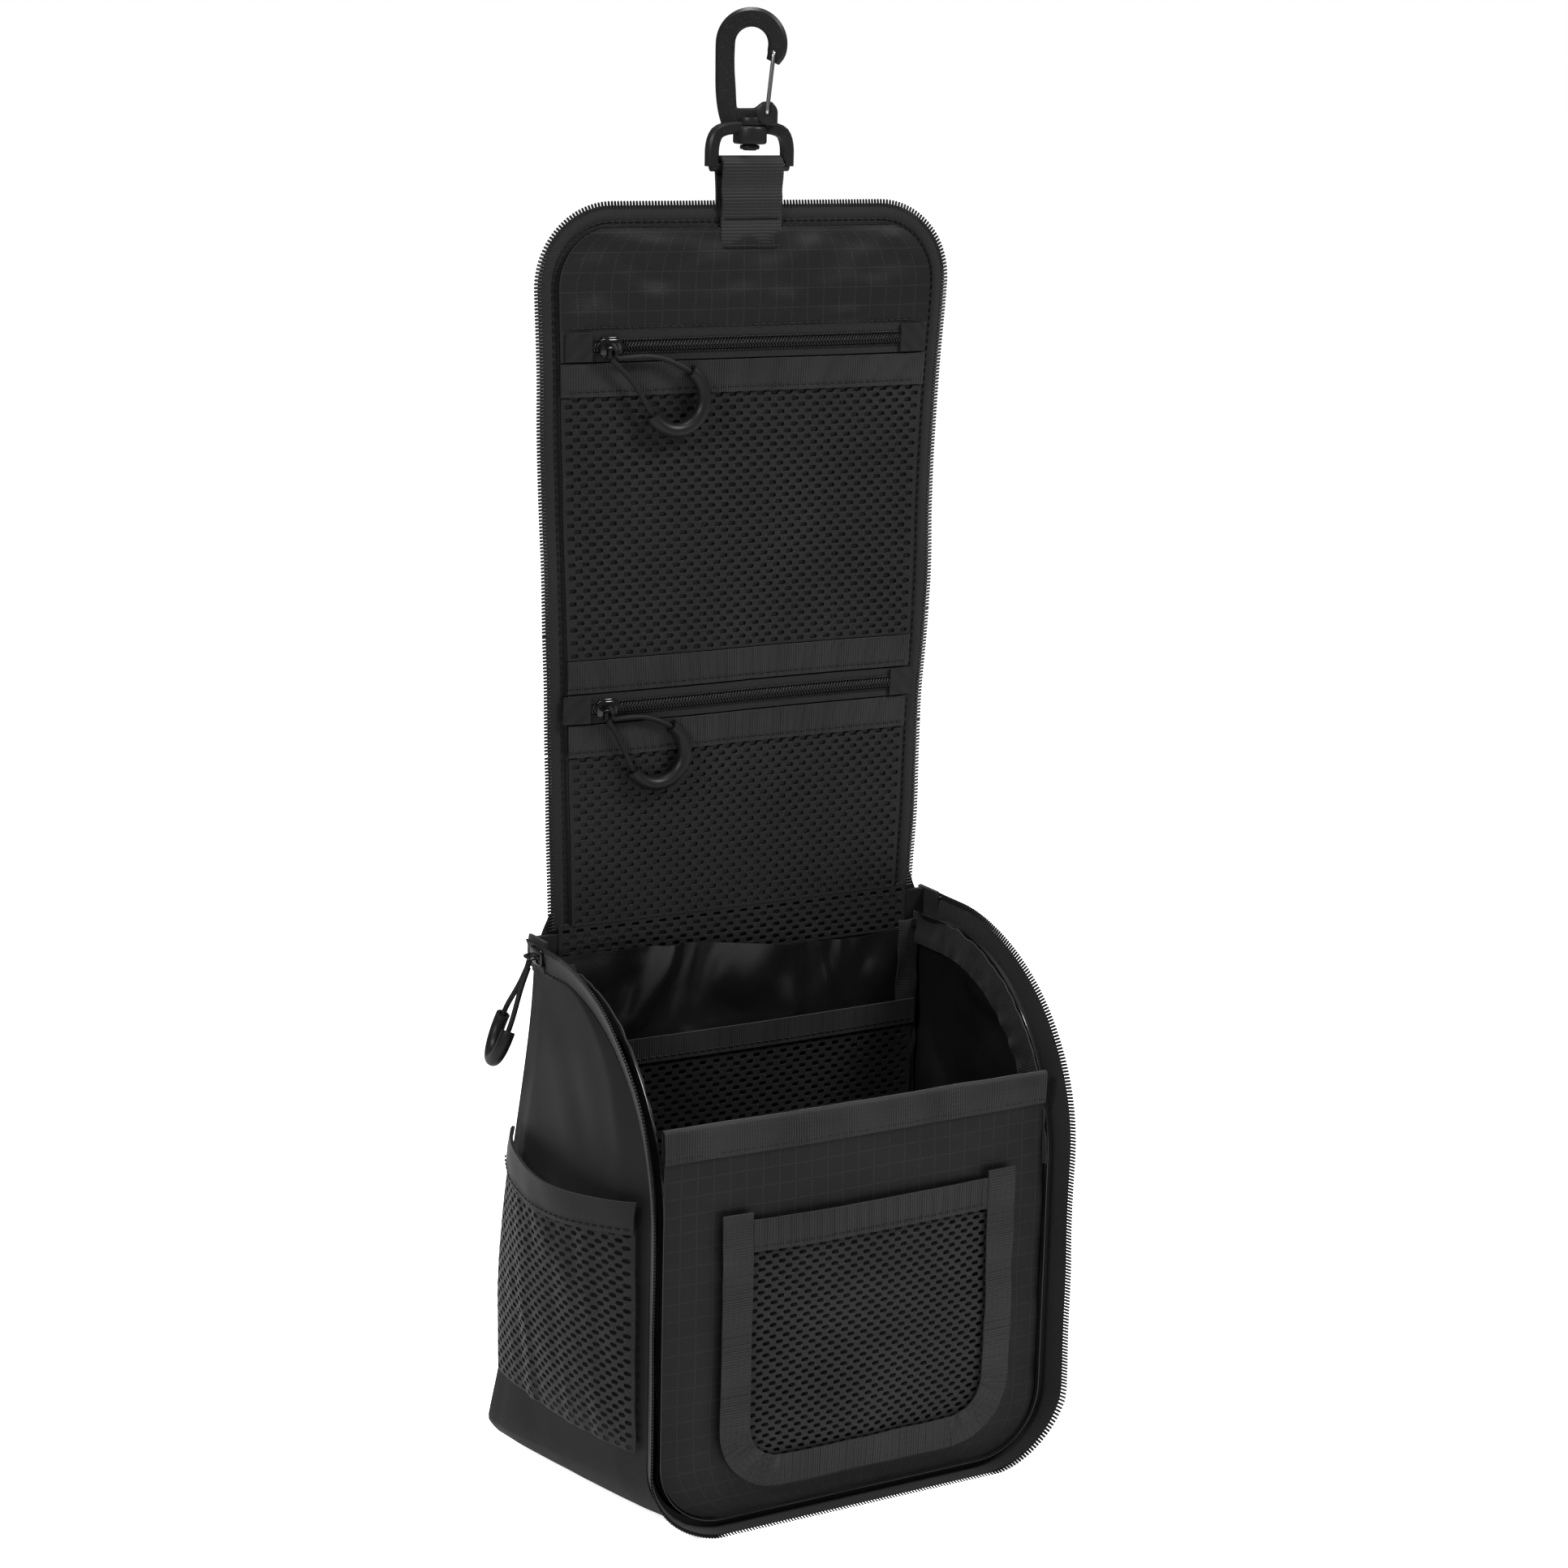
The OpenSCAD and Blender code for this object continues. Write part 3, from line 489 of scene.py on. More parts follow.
def hook_section(k):
    half, deep = line[k][2], 3.3
    edge = 1.15
    right = [(half, edge - deep), (half, deep - edge), (half - edge, deep), (edge - half, deep)]
    left = [(-half, deep - edge), (-half, edge - deep), (edge - half, -deep), (half - edge, -deep)]
    return right + left


middle = [hook_place(x, 0, z) for x, z, _ in line]
hook = sweep("hook_moulding", middle, hook_section, turn @ Vector((0, 1, 0)))
knuckle = [(-10.2, 0.2), (10, 0.2), (10, 5), (8, 8.6), (4.4, 8.6), (1.5, 6.2), (-5, 6), (-6, 10), (-10.2, 10)]
web = []
for depth in (-2.6, 2.6):
    web += [hook_place(x, depth, z) * MM for x, z in knuckle]
shape = bmesh.new()
corners = [shape.verts.new(p) for p in web]
count = len(knuckle)
shape.faces.new(corners[:count])
shape.faces.new(corners[count:][::-1])
for k in range(count):
    shape.faces.new(
        (corners[k], corners[(k + 1) % count], corners[count + (k + 1) % count], corners[count + k])
    )
bmesh.ops.recalc_face_normals(shape, faces=shape.faces)
bpy.ops.mesh.primitive_plane_add(size=0.01)
foot = bpy.context.object
shape.to_mesh(foot.data)
shape.free()
modify(foot, "BEVEL", width=0.0007, segments=2, limit_method="ANGLE")
turned = []
for name, radius, low, high in (("collar", 4.6, 0, 3), ("stem", 2.6, -9, 1), ("stem_end", 3.6, -8.6, -7.0)):
    bpy.ops.mesh.primitive_cylinder_add(
        vertices=36, radius=radius * MM, depth=(high - low) * MM, location=(
            0, 0.052, (hook_z + (low + high) / 2) * MM
        )
    )
    part = settle(bpy.context.object)
    turned.append(modify(part, "BEVEL", width=0.0004, segments=2, limit_method="ANGLE"))
bpy.ops.mesh.primitive_cylinder_add(
    vertices=32, radius=0.0039, depth=0.0066, location=hook_place(6.1, 0, 4.6) * MM
)
boss = bpy.context.object
boss.rotation_euler = (math.radians(90), 0, math.radians(-30))
modify(settle(boss), "BEVEL", width=0.0005, segments=2, limit_method="ANGLE")
hook = join("hook_moulding", [hook, foot, boss, *turned])
dress(smooth(hook, 40), hook_plastic, "hook_plastic", "hook", "hook_body")

# ---- Gate ----
# One bent steel wire, 1.5 mm thick: two legs pivot in the knuckle and a bar crosses the nose.
steel = paint("steel", 0.5, 0.62, 0.22, bump=0.05, Metallic=1.0)
leg = 4.2
wire = [(6.1, -leg + 1, 4.6), (6.1, -leg, 4.8), (6.4, -leg, 8), (8.1, -leg, 25.6), (8.2, -leg + 0.9, 26.4)]
wire += [(8.2, 0, 26.4), (8.2, leg - 0.9, 26.4)]
wire += [(8.1, leg, 25.6), (6.4, leg, 8), (6.1, leg, 4.8), (6.1, leg - 1, 4.6)]
gate_line = [hook_place(x, y, z) for x, y, z in rounded(wire, 2)]
gate = sweep("gate_wire", gate_line, lambda k: disc(0.72, 12), turn @ Vector((1, 0, 0.05)))
dress(gate, steel, "gate_steel", "gate", "hook_gate")

# ---- Swivel ring ----
# A moulded rectangle of flat plastic with a round lower bar for the strap and a barrel on
# top, in which the hook's stem turns.
bar_z = 485.439
ring_half = 18
ring_line = [(-ring_half + 2.3, 0), (-ring_half + 2.3, 9), (-ring_half + 5.5, 13.6), (0, 14)]
ring_line += [(ring_half - 5.5, 13.6), (ring_half - 2.3, 9), (ring_half - 2.3, 0)]
ring_line = rounded([(x, 52, bar_z + z) for x, z in ring_line], 2)
box = [(2.2, -1.4), (2.2, 1.4), (1.4, 2.1), (-1.4, 2.1), (-2.2, 1.4), (-2.2, -1.4), (-1.4, -2.1), (1.4, -2.1)]
band = sweep("ring_band", ring_line, lambda k: box, (0, 1, 0))
low_bar = sweep("ring_bar", [(x, 52, bar_z) for x in range(-16, 17, 4)], lambda k: disc(1.9, 16), (0, 1, 0))
bpy.ops.mesh.primitive_cylinder_add(
    vertices=48, radius=0.0062, depth=0.0065, location=(0, 0.052, (bar_z + 11.25) * MM)
)
barrel = modify(settle(bpy.context.object), "BEVEL", width=0.0009, segments=3, limit_method="ANGLE")
ring = join("swivel_moulding", [band, low_bar, barrel])
dress(smooth(ring, 40), hook_plastic, "hook_plastic", "ring", "swivel_ring")


# ---- Hanger strap ----
# 25 mm webbing with heavy cross ribs, looped round the ring's bar and sewn to both faces of
# the lid; its front ply kinks midway.
def ribs(length, pitch, height):
    """Height of a ribbed tape's face at a length along it."""
    return height * abs(math.sin(math.pi * length / pitch)) ** 0.6


webbing = paint("webbing", 0.004, 0.045, 0.62, pitch=0.0011, bump=0.6, Sheen_Weight=0.15)
lid_length = 267.439
loop = [(53.9, bar_z - 31), (53.8, bar_z - 16), (54.2, bar_z - 8), (54.9, bar_z - 2)]
loop += [
    (52 + 3.3 * math.cos(math.radians(a)), bar_z + 3.3 * math.sin(math.radians(a))) for a in range(0, 181, 20)
]
loop += [(48.9, bar_z - 4), (49.9, bar_z - 8.5), (49.2, bar_z - 11.5), (49.8, bar_z - 16), (50.0, bar_z - 31)]
loop = rounded([(y, z) for y, z in loop], 2)
stops = [0.0]
for a, b in zip(loop, loop[1:]):
    stops.append(stops[-1] + (b - a).length)


def along_loop(length):
    for k, stop in enumerate(stops[1:]):
        if length <= stop:
            share = (length - stops[k]) / max(stop - stops[k], 1e-9)
            return loop[k].lerp(loop[k + 1], share), (loop[k + 1] - loop[k]).normalized()
    return loop[-1], (loop[-1] - loop[-2]).normalized()


def strap_place(u, v):
    length = u * stops[-1]
    point, ahead = along_loop(length)
    bulk = 0.25 - ribs(length, 1.2, 0.4)
    sway = 0.35 * noise.noise(Vector((v * 3, length / 14, 1.7)))
    return (25 * (v - 0.5) + sway, point[0] - ahead[1] * bulk + sway * 0.5, point[1] + ahead[0] * bulk)


strap = grid("strap_webbing", 520, 8, strap_place, (stops[-1], 25))
smooth(modify(strap, "SOLIDIFY", thickness=0.0011, offset=0), 60)
dress(strap, webbing, "webbing", "lid_front", "hanger_strap")


# ---- Lid cloth ----
# The lid is one soft flap: black nylon outside and a satin ripstop lining inside, cut with
# round corners. It is drawn standing open in three stretches; on the bag it bends over the arch of the sides
# at three soft folds.
def lid_half(s, inset=0.0):
    """Half of the lid's width at a height s above the hinge, inside its coil by inset."""
    corner = lid_length - 28
    if s < corner:
        return 77 + 8 * s / lid_length - inset
    return 56.162 + math.sqrt(max((28 - inset) ** 2 - (s - corner) ** 2, 0))


def lid_wave(x, s):
    """How far the soft lid stands behind its flat plane."""
    held = min(1, s / 50) * min(1, 0.35 + max(0, lid_length - s) / 60)
    broad = 2.6 * noise.noise(Vector((x / 75, s / 70, 3.1)))
    return held * (broad + 0.5 * noise.noise(Vector((x / 24, s / 28, 8.3))))


def lid_place(x, s, proud):
    return (x, 51 - proud + lid_wave(x, s), 203 + s)


def bend(piece):
    """Writes a lid piece's place into its mesh."""
    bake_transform(piece)


nylon = paint("nylon", 0.0048, 0.0193, 0.55, pitch=0.0007, slant=1.0, Sheen_Weight=0.1)
satin = paint("satin", 0.0064, 0.0275, 0.36, pitch=0.00055, slant=1.0, grid_pitch=0.0066, bump=0.25)
stretches = [
    ("crown", 0.5, 68.5, "back", ("crown",)),
    ("shoulder", 68.5, 113, "middle", ("shoulder_back", "shoulder_front")),
    ("front", 113, lid_length - 5.8, "front", ("front",)),
]


def lid_sheet(name, low, high, proud, wrinkle):
    def place(u, v):
        s = low + (high - low) * (1 - (1 - v) ** 1.5 if high > 200 else v)
        x = (2 * u - 1) * lid_half(s, 5.8)
        rim = min(1, (1 - abs(2 * u - 1)) * 14)
        dents = wrinkle * rim * noise.noise(Vector((x / 17, s / 13, proud)))
        return lid_place(x, s, proud + dents)

    piece = grid(name, 64, max(16, round((high - low) / 2.6)), place, (155, high - low))
    return smooth(modify(piece, "SOLIDIFY", thickness=0.0004, offset=0), 60)


for name, low, high, fold, parts in stretches:
    skin = lid_sheet(f"skin_{name}", low, high, -1.6, 0.25)
    dress(skin, nylon, "nylon", None, *[f"lid_skin_{p}" for p in parts])
    lining = lid_sheet(f"lining_{name}", low, high, -0.2, 0.12)
    dress(lining, satin, "satin_lining", None, *[f"lid_lining_{p}" for p in parts])
    for sheet in (skin, lining):
        bend(sheet)


# ---- Lid zip ----
# Half of a long coil zip goes round the lid: knitted tape sewn between its two cloths, with
# the nylon coil's teeth along the free edge.
corner_run = 28 * math.pi / 2
straight = lid_length - 28
half_run = straight + corner_run + 56.162


def edge_point(t, inset):
    """x and s of the lid's edge a run t from the left hinge corner, inside the coil by inset."""
    side = -1
    if t > half_run:
        side, t = 1, 2 * half_run - t
    if t < straight:
        return side * (77 + 8 * t / lid_length - inset), t
    if t < straight + corner_run:
        angle = (t - straight) / 28
        return side * (56.162 + (28 - inset) * math.cos(angle)), straight + (28 - inset) * math.sin(angle)
    return side * (half_run - t), lid_length - inset


def edge_wave(t):
    return 0.9 * noise.noise(Vector((t / 31, 0.4, 5.5)))


def edge_place(t, inset, proud):
    x, s = edge_point(t, inset)
    loose = max(0, 1 - inset / 8)
    return lid_place(x, s, proud + loose * edge_wave(t))


zip_tape = paint("zip_tape", 0.0056, 0.0231, 0.66, pitch=0.0008, slant=0.5, bump=0.7, Sheen_Weight=0.2)
coil_black = paint("coil_black", 0.016, 0.03, 0.24, bump=0.05)
thread_black = paint("thread_black", 0.008, 0.0275, 0.5)
bpy.ops.mesh.primitive_uv_sphere_add(segments=6, ring_count=4, radius=0.001)
tooth = bpy.context.object
tooth.rotation_euler = (0, math.radians(90), 0)
settle(tooth)
for vertex in tooth.data.vertices:
    if 0.0005 < abs(vertex.co.x) < 0.0009:
        vertex.co = (1.2 * vertex.co.x, 1.25 * vertex.co.y, 1.25 * vertex.co.z)
smooth(tooth, 60)
tooth.name = "tooth_master"


def tooth_row(name, spots, length, thickness):
    """Coil teeth as small capsules; a spot is (place, direction, outward) in mm."""
    size = (length / 2, thickness / 2, thickness / 2)
    return copies(name, tooth, [stand(p, d, n, size) for p, d, n in spots])


def lid_runs(low, high):
    if high > 200:
        return [(low, 2 * half_run - low)]
    return [(low, high), (2 * half_run - high, 2 * half_run - low)]


for name, low, high, fold, parts in stretches:
    strips, spots, stitches = [], [], []
    for start, stop in lid_runs(low, high):
        span = stop - start
        strips.append(grid("strip", round(span / 1.6), 6, lambda u, v: edge_place(
            start + span * u, 8.5 - 9.7 * v, -0.9 + 0.3 * math.sin(v * 12)), (span, 11)))
        for k in range(round(span / 1.25)):
            t = start + 1.25 * (k + 0.5)
            here = Vector(edge_place(t, -1.4, -0.9))
            inner = Vector(edge_place(t + 0.3, 1.6, -0.9))
            spots.append((here, inner - here, (0, -1, 0)))
        for k in range(round(span / 2.9)):
            t = start + 2.9 * (k + 0.5)
            here = Vector(edge_place(t, 4.4, -0.3))
            stitches.append((here, Vector(edge_place(t + 1, 4.4, -0.3)) - here, (0, -1, 0)))
    tape = join(f"lid_tape_{name}", strips)
    smooth(modify(tape, "SOLIDIFY", thickness=0.0006, offset=0), 60)
    dress(tape, zip_tape, "zip_tape", None, *[f"lid_zip_{p}" for p in parts])
    teeth = tooth_row(f"lid_teeth_{name}", spots, 3.0, 0.95)
    dress(teeth, coil_black, "zip_coil", None)
    seam = tooth_row(f"lid_seam_{name}", stitches, 2.1, 0.55)
    dress(seam, thread_black, "zip_tape", None)
    for piece in (tape, teeth, seam):
        bend(piece)


# ---- Mesh pockets of the lid ----
# Two flat pockets of knitted mesh with oval holes, staggered.
def mesh_cloth(name, width, height, place, thickness=0.45):
    """Cloth with staggered oval holes: 5.8 mm apart across and 4.8 mm apart up."""
    columns, rows = 4 * round(width / 5.8), 4 * round(height / 4.8)
    piece = grid(name, columns, rows, lambda u, v: (1000 * (u - 0.5), 1000 * (v - 0.5), 0))
    holes = []
    for face in piece.data.polygons:
        i, j = int((face.center.x + 0.5) * columns), int((face.center.y + 0.5) * rows)
        if (i % 4 in (1, 2) and j % 4 == 1) or (i % 4 in (3, 0) and j % 4 == 3 and 0 < i < columns - 1):
            holes.append(face.index)
    for vertex in piece.data.vertices:
        i, j = round((vertex.co.x + 0.5) * columns), round((vertex.co.y + 0.5) * rows)
        across, up = i, j
        if 0 < i < columns and 0 < j < rows:
            if (j % 4 in (1, 2) and i % 4 != 0) or (j % 4 in (3, 0) and i % 4 != 2):
                up += 0.24 if j % 2 == 0 else -0.24
            across += {(1, 1): -0.18, (1, 3): 0.18, (3, 3): -0.18, (3, 1): 0.18}.get(
                (j % 4 if j % 2 else (j - 1) % 4, i % 4), 0
            )
        vertex.co = MM * Vector(place(across / columns, up / rows))
    cloth = bmesh.new()
    cloth.from_mesh(piece.data)
    cloth.faces.ensure_lookup_table()
    bmesh.ops.delete(cloth, geom=[cloth.faces[k] for k in holes], context="FACES")
    cloth.to_mesh(piece.data)
    cloth.free()
    modify(piece, "SUBSURF", levels=1)
    modify(piece, "SOLIDIFY", thickness=thickness * MM, offset=0)
    return smooth(piece, 70)


def row_place(low, high, proud, inset=6.4):
    """Places for a row of the lid between two heights."""

    def place(u, v):
        s = low + (high - low) * v
        return lid_place((2 * u - 1) * lid_half(s, inset), s, proud)

    return place


mesh_black = paint("mesh_black", 0.0056, 0.033, 0.55, bump=0.8, depth=0.0004, Sheen_Weight=0.2)
mesh_rows = [
    ("lower_mesh", 2, 66.5, "back", ("lower_mesh_crown", "lower_mesh_shoulder")),
    ("upper_mesh", 103.6, 200, "front", ("upper_mesh_shoulder", "upper_mesh_front")),
]
for name, low, high, fold, nodes in mesh_rows:
    cloth = mesh_cloth(f"{name}_cloth", 151, high - low, row_place(low, high, 0.6))
    dress(cloth, mesh_black, "mesh", None, *nodes)
    bend(cloth)


# ---- Grosgrain of the lid ----
# Ribbed 12 mm tape edges the mesh, sewn down by one row of stitches near its lower edge.
grosgrain = paint("grosgrain", 0.003, 0.05, 0.6, pitch=0.001, bump=0.5, Sheen_Weight=0.2)


def stitch_row(name, place, length, pitch=3.1):
    """A row of stitches along place(share), with the cloth's outward side towards -Y."""
    spots = []
    for k in range(int(length / pitch)):
        share = (k + 0.5) * pitch / length
        here, there = Vector(place(share)), Vector(place(share + 0.004))
        spots.append((here, there - here, (0, -1, 0)))
    return tooth_row(name, spots, 2.3, 0.55)


def ribbed_row(name, low, high, proud):
    def place(u, v):
        s = low + (high - low) * v
        x = (2 * u - 1) * lid_half(s, 6.2)
        return lid_place(x, s, proud + ribs(x, 1.05, 0.3) + 0.2 * noise.noise(Vector((x / 9, s / 30, 2))))

    tape = grid(name, 600, 4, place, (152, high - low))
    return smooth(modify(tape, "SOLIDIFY", thickness=0.0006, offset=0), 60)


for name, low, body in (
    ("lower_grosgrain_below", 67.1, "lid_shoulder_back"),
    ("lower_grosgrain_above", 91.3, "lid_shoulder_front"),
    ("upper_grosgrain", 200.4, "lid_front"),
):
    tape = ribbed_row(f"{name}_tape", low, low + 12, 1.0)
    dress(tape, grosgrain, "grosgrain", body, name)
    row = stitch_row(f"{name}_stitches", lambda t: lid_place((2 * t - 1) * 74, low + 2, 1.65), 148)
    dress(row, thread_black, "grosgrain", body)

# ---- Pocket zips ----
# Each mesh pocket opens by a coil zip on 10 mm knitted tape. The closed coil shows two
# rows of slanted teeth between two glinting lines.
for name, at, body in (
    ("lower_pocket_zip", 85.119, "lid_shoulder_back"), ("upper_pocket_zip", 218.439, "lid_front")
):
    tape = grid(f"{name}_tape", 120, 12, row_place(at - 5.4, at + 5.4, 0.9), (152, 10.8))
    smooth(modify(tape, "SOLIDIFY", thickness=0.0006, offset=0), 60)
    dress(tape, zip_tape, "zip_tape", body, name)
    spots = []
    for k in range(int(132 / 1.25)):
        x = -66 + 1.25 * (k + 0.5)
        for side, shift in ((-1, 0), (1, 0.62)):
            here = Vector(lid_place(x + shift, at + side * 0.75, 1.75))
            spots.append((here, (0.5 * side, 0, 1), (0, -1, 0)))
    teeth = tooth_row(f"{name}_teeth", spots, 2.3, 0.95)
    dress(teeth, coil_black, "zip_coil", body)
    spots = []
    for k in range(int(132 / 1.25)):
        for side in (-1, 1):
            here = Vector(lid_place(-66 + 1.25 * (k + 0.5), at + side * 2.35, 1.5))
            spots.append((here, (1, 0, 0.4 * side), (0, -1, 0)))
    edges = tooth_row(f"{name}_edges", spots, 1.15, 0.7)
    dress(edges, coil_black, "zip_coil", body)
    tabs = []
    for side in (-1, 1):
        tab = grid(
            "tab", 8, 8, lambda u,
            v: lid_place(side * (65 + 10.5 * u), at + 10.4 * (v - 0.5), 2.1 - 0.5 * u)
        )
        tabs.append(modify(tab, "SOLIDIFY", thickness=0.0008, offset=0))
    ends = join(f"{name}_end_tabs", tabs)
    dress(smooth(ends, 60), nylon, "nylon", body)

# ---- Ripstop panel ----
# The lid's top is a sewn ripstop panel with soft dents and a row of stitches at its foot.
ripstop = paint("ripstop", 0.0056, 0.022, 0.5, pitch=0.0006, slant=1.0, grid_pitch=0.0066)


def panel_place(u, v):
    s = 223.739 + (260.6 - 223.739) * v
    x = (2 * u - 1) * lid_half(s, 6.2)
    rim = min(1, 8 * v, 8 * (1 - v), 16 * u, 16 * (1 - u))
    dent = 1.1 * noise.noise(Vector((x / 16, s / 9, 4.2)))
    return lid_place(x, s, 0.9 + rim * (0.5 + dent))


panel = grid("ripstop_panel", 110, 28, panel_place, (152, 34.7))
smooth(modify(panel, "SOLIDIFY", thickness=0.0004, offset=0), 60)
dress(panel, ripstop, "ripstop", "lid_front", "lid_ripstop_panel")
row = stitch_row("panel_stitches", lambda t: lid_place((2 * t - 1) * 74, 225.2, 1.35), 148)
dress(row, thread_black, "ripstop", "lid_front")
rows = [
    stitch_row(f"bartack_{k}", lambda t: lid_place((2 * t - 1) * 11.5, lid_length - d, 2.15), 23, 1.9)
    for k, d in enumerate((3.4, 13.5))
]
tack = join("strap_stitches", rows)
dress(tack, thread_black, "webbing", "lid_front")


# ---- Body wall ----
# One padded wall goes down a side, under the base and up the other side: nylon over foam.
# It is cut to the arch of the zip and bellies out when the bag stands open.
def tub_point(a, inset=0.0):
    """x, z and outward direction of the U-shaped wall, a run a down from its left top."""
    side = -1
    if a > 272.124:
        side, a = 1, 544.248 - a
    if a < 170:
        return side * (85 - inset), 200 - a, (side, 0)
    if a < 217.124:
        angle = (a - 170) / 30
        out = (math.cos(angle), -math.sin(angle))
        return side * (55 + (30 - inset) * out[0]), 30 + (30 - inset) * out[1], (side * out[0], out[1])
    return side * (272.124 - a), inset, (0, -1)


def front_edge(z, inset):
    """y of the wall's zip edge at a height, behind the coil by inset."""
    if z < 120:
        return -53 + inset
    return 27 - math.sqrt(max((80 - inset) ** 2 - (z - 120) ** 2, 0))


def slump(point):
    """The standing bag leans out at its lower left and its rear corner is nearly square."""
    x, y, z = point
    rear = max(0, min(1, (y + 50) / 100)) ** 0.9
    low = max(0, min(1, (200 - z) / 140))
    low = low * low * (3 - 2 * low)
    left = max(0, min(1, (30 - x) / 110)) ** 1.2
    square = max(0, min(1, (-45 - x) / 12)) * max(0, min(1, (34 - z) / 10)) * rear
    x -= 14 * rear * low * left + 5 * square
    z -= 0.45 * square * max(0, z)
    return (x, y, z)


def belly(a, y, z):
    """How far the soft wall stands outside its pattern."""
    if z < 1:
        return 0
    left = a < 272
    depth = (y + 53) / 106
    rise = math.sin(math.pi * min(1, max(0, z / 205))) ** 0.8
    out = rise * math.sin(math.pi * min(1, max(0, depth * 0.86 + 0.12))) ** 0.9
    soft = noise.noise(Vector((a / 60, y / 45, 9.1))) + 0.5 * noise.noise(
        Vector(((a + y) / 17, (y - a) / 48, 3.3))
    )
    return out * ((5.5 if left else 4.5) + 1.6 * soft)


def run_at(u, inset):
    """Run down the U for a share u, with more rows over the arches."""
    if u < 0.2:
        return 80 - (80 - inset) * math.cos(math.pi / 2 * (u / 0.2))
    if u > 0.8:
        return 544.248 - run_at(1 - u, inset)
    return 80 + (u - 0.2) / 0.6 * (544.248 - 160)


def wall_place(inset, depth, back=52.6):
    def place(u, v):
        a = run_at(u, inset)
        x, z, out = tub_point(a, depth)
        y = front_edge(200 - a if a < 170 else (a - 344.248 if a > 374.248 else 0), inset)
        y += (back - y) * v
        push = belly(a, y, z) * min(1, 6 * v + 0.15) * min(1, 8 * (1 - v) + 0.1)
        return slump((x + out[0] * push, y, z + out[1] * push))

    return place


outer = grid("wall_padding", 220, 44, wall_place(8, 1.5), (530, 98))
smooth(modify(outer, "SOLIDIFY", thickness=0.003, offset=0), 50)
dress(outer, nylon, "nylon", "bag", "side_outer_left", "side_outer_right", "base_outer", "body_foam")


# ---- Back panel ----
# A padded nylon panel closes the back; the lid grows out of its top edge.
def back_place(y_at, bulge):
    def place(u, v):
        z = 202.6 * v
        half = 85 if z > 30 else 55 + math.sqrt(max(900 - (30 - z) ** 2, 0))
        x = (2 * u - 1) * half
        swell = bulge * math.sin(math.pi * u) ** 0.6 * math.sin(math.pi * v) ** 0.6
        return slump((x, y_at + swell + 0.6 * noise.noise(Vector((x / 40, z / 40, 6))), z))

    return place


back = grid("back_padding", 80, 90, back_place(51.9, 3.0), (170, 203))
smooth(modify(back, "SOLIDIFY", thickness=0.0022, offset=0), 50)
dress(back, nylon, "nylon", "bag", "back_outer", "back_foam")

# ---- Hinge fabric ----
# The nylon runs on from the back into the lid without a seam.
hinge = grid("hinge_cloth", 60, 12, lambda u, v: (
    (2 * u - 1) * (84 - 5 * v), 52.4 + 0.7 * math.sin(math.pi * v), 198 + 12 * v), (168, 12))
smooth(modify(hinge, "SOLIDIFY", thickness=0.0008, offset=0), 60)
dress(hinge, nylon, "nylon", None)
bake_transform(hinge)


apron = mesh_cloth("hinge_mesh", 150, 19.2, lambda u, v: ((2 * u - 1) * 76, 50.6, 187 + 19.2 * v))
dress(apron, mesh_black, "mesh", None)
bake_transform(apron)


# ---- Satin lining ----
# A sewn bag of thin satin hangs loose inside: it wrinkles over the walls and droops below
# the hinge at the back.
def creases(x, z, seed):
    """Sharp folds of loose satin."""
    twist = noise.noise(Vector((x / 35, z / 45, seed)))
    fold = noise.noise(Vector((x / 20 + 1.5 * twist, z / 42, seed + 3)))
    fine = noise.noise(Vector((x / 8 + twist, z / 16, seed + 7)))
    return 5.0 * (abs(fold) ** 0.8) * (1 if fold > 0 else -0.5) + 1.1 * fine


def satin_back_place(u, v):
    top = 193 + 3.5 * math.sin(5.2 * u + 0.6) - 2 * u
    z = 3 + (top - 3) * v
    half = 80.8 if z > 30 else 51 + math.sqrt(max(29.5**2 - (32 - z) ** 2, 4))
    x = (2 * u - 1) * half
    loose = min(1, 7 * u, 7 * (1 - u), 0.25 + 5 * v)
    return slump((x, 49.2 - loose * (1.2 + max(-1, creases(x, z, 1.2))) - 3 * v**8, z))


lining_back = grid("satin_back", 150, 150, satin_back_place, (162, 190))
smooth(modify(lining_back, "SOLIDIFY", thickness=0.0003, offset=0), 60)
satin_plain = paint(
    "satin_plain", 0.006, 0.03, 0.24, pitch=0.00055, slant=1.0, bump=0.2, Specular_IOR_Level=0.65
)
dress(lining_back, satin_plain, "satin_lining", "bag", "body_lining")


def satin_wall_place(u, v):
    a = run_at(u, 5)
    x, z, out = tub_point(a, 3.6)
    y = front_edge(200 - a if a < 170 else (a - 344.248 if a > 374.248 else 0), 5)
    y += (49.5 - y) * v
    push = belly(a, y, z) * min(1, 6 * v + 0.1) * min(1, 8 * (1 - v) + 0.1)
    loose = min(1, 5 * v, 6 * (1 - v)) * (1 if z > 8 else 0.4)
    crease = loose * (0.6 + max(-0.6, creases(a, y, 5.5)))
    return slump((x + out[0] * (push - crease), y, z + out[1] * (push - crease)))


lining_wall = grid("satin_wall", 260, 60, satin_wall_place, (535, 100))
smooth(modify(lining_wall, "SOLIDIFY", thickness=0.0003, offset=0), 60)
dress(lining_wall, satin_plain, "satin_lining", "bag")


# ---- Front wall ----
# A low ripstop wall, 8 mm behind the zip, with grosgrain folded over its top edge.
def front_swell(x, z):
    """How far the loose front wall stands forward."""
    swell = 2.6 * math.cos(math.pi * x / 170) * math.sin(math.pi * min(1, max(0, z / 165))) ** 0.8
    broad = 1.0 * noise.noise(Vector((x / 38, z / 30, 2.2)))
    return swell + broad + 0.45 * noise.noise(Vector(((x + z) / 12, (z - x) / 30, 6.1)))


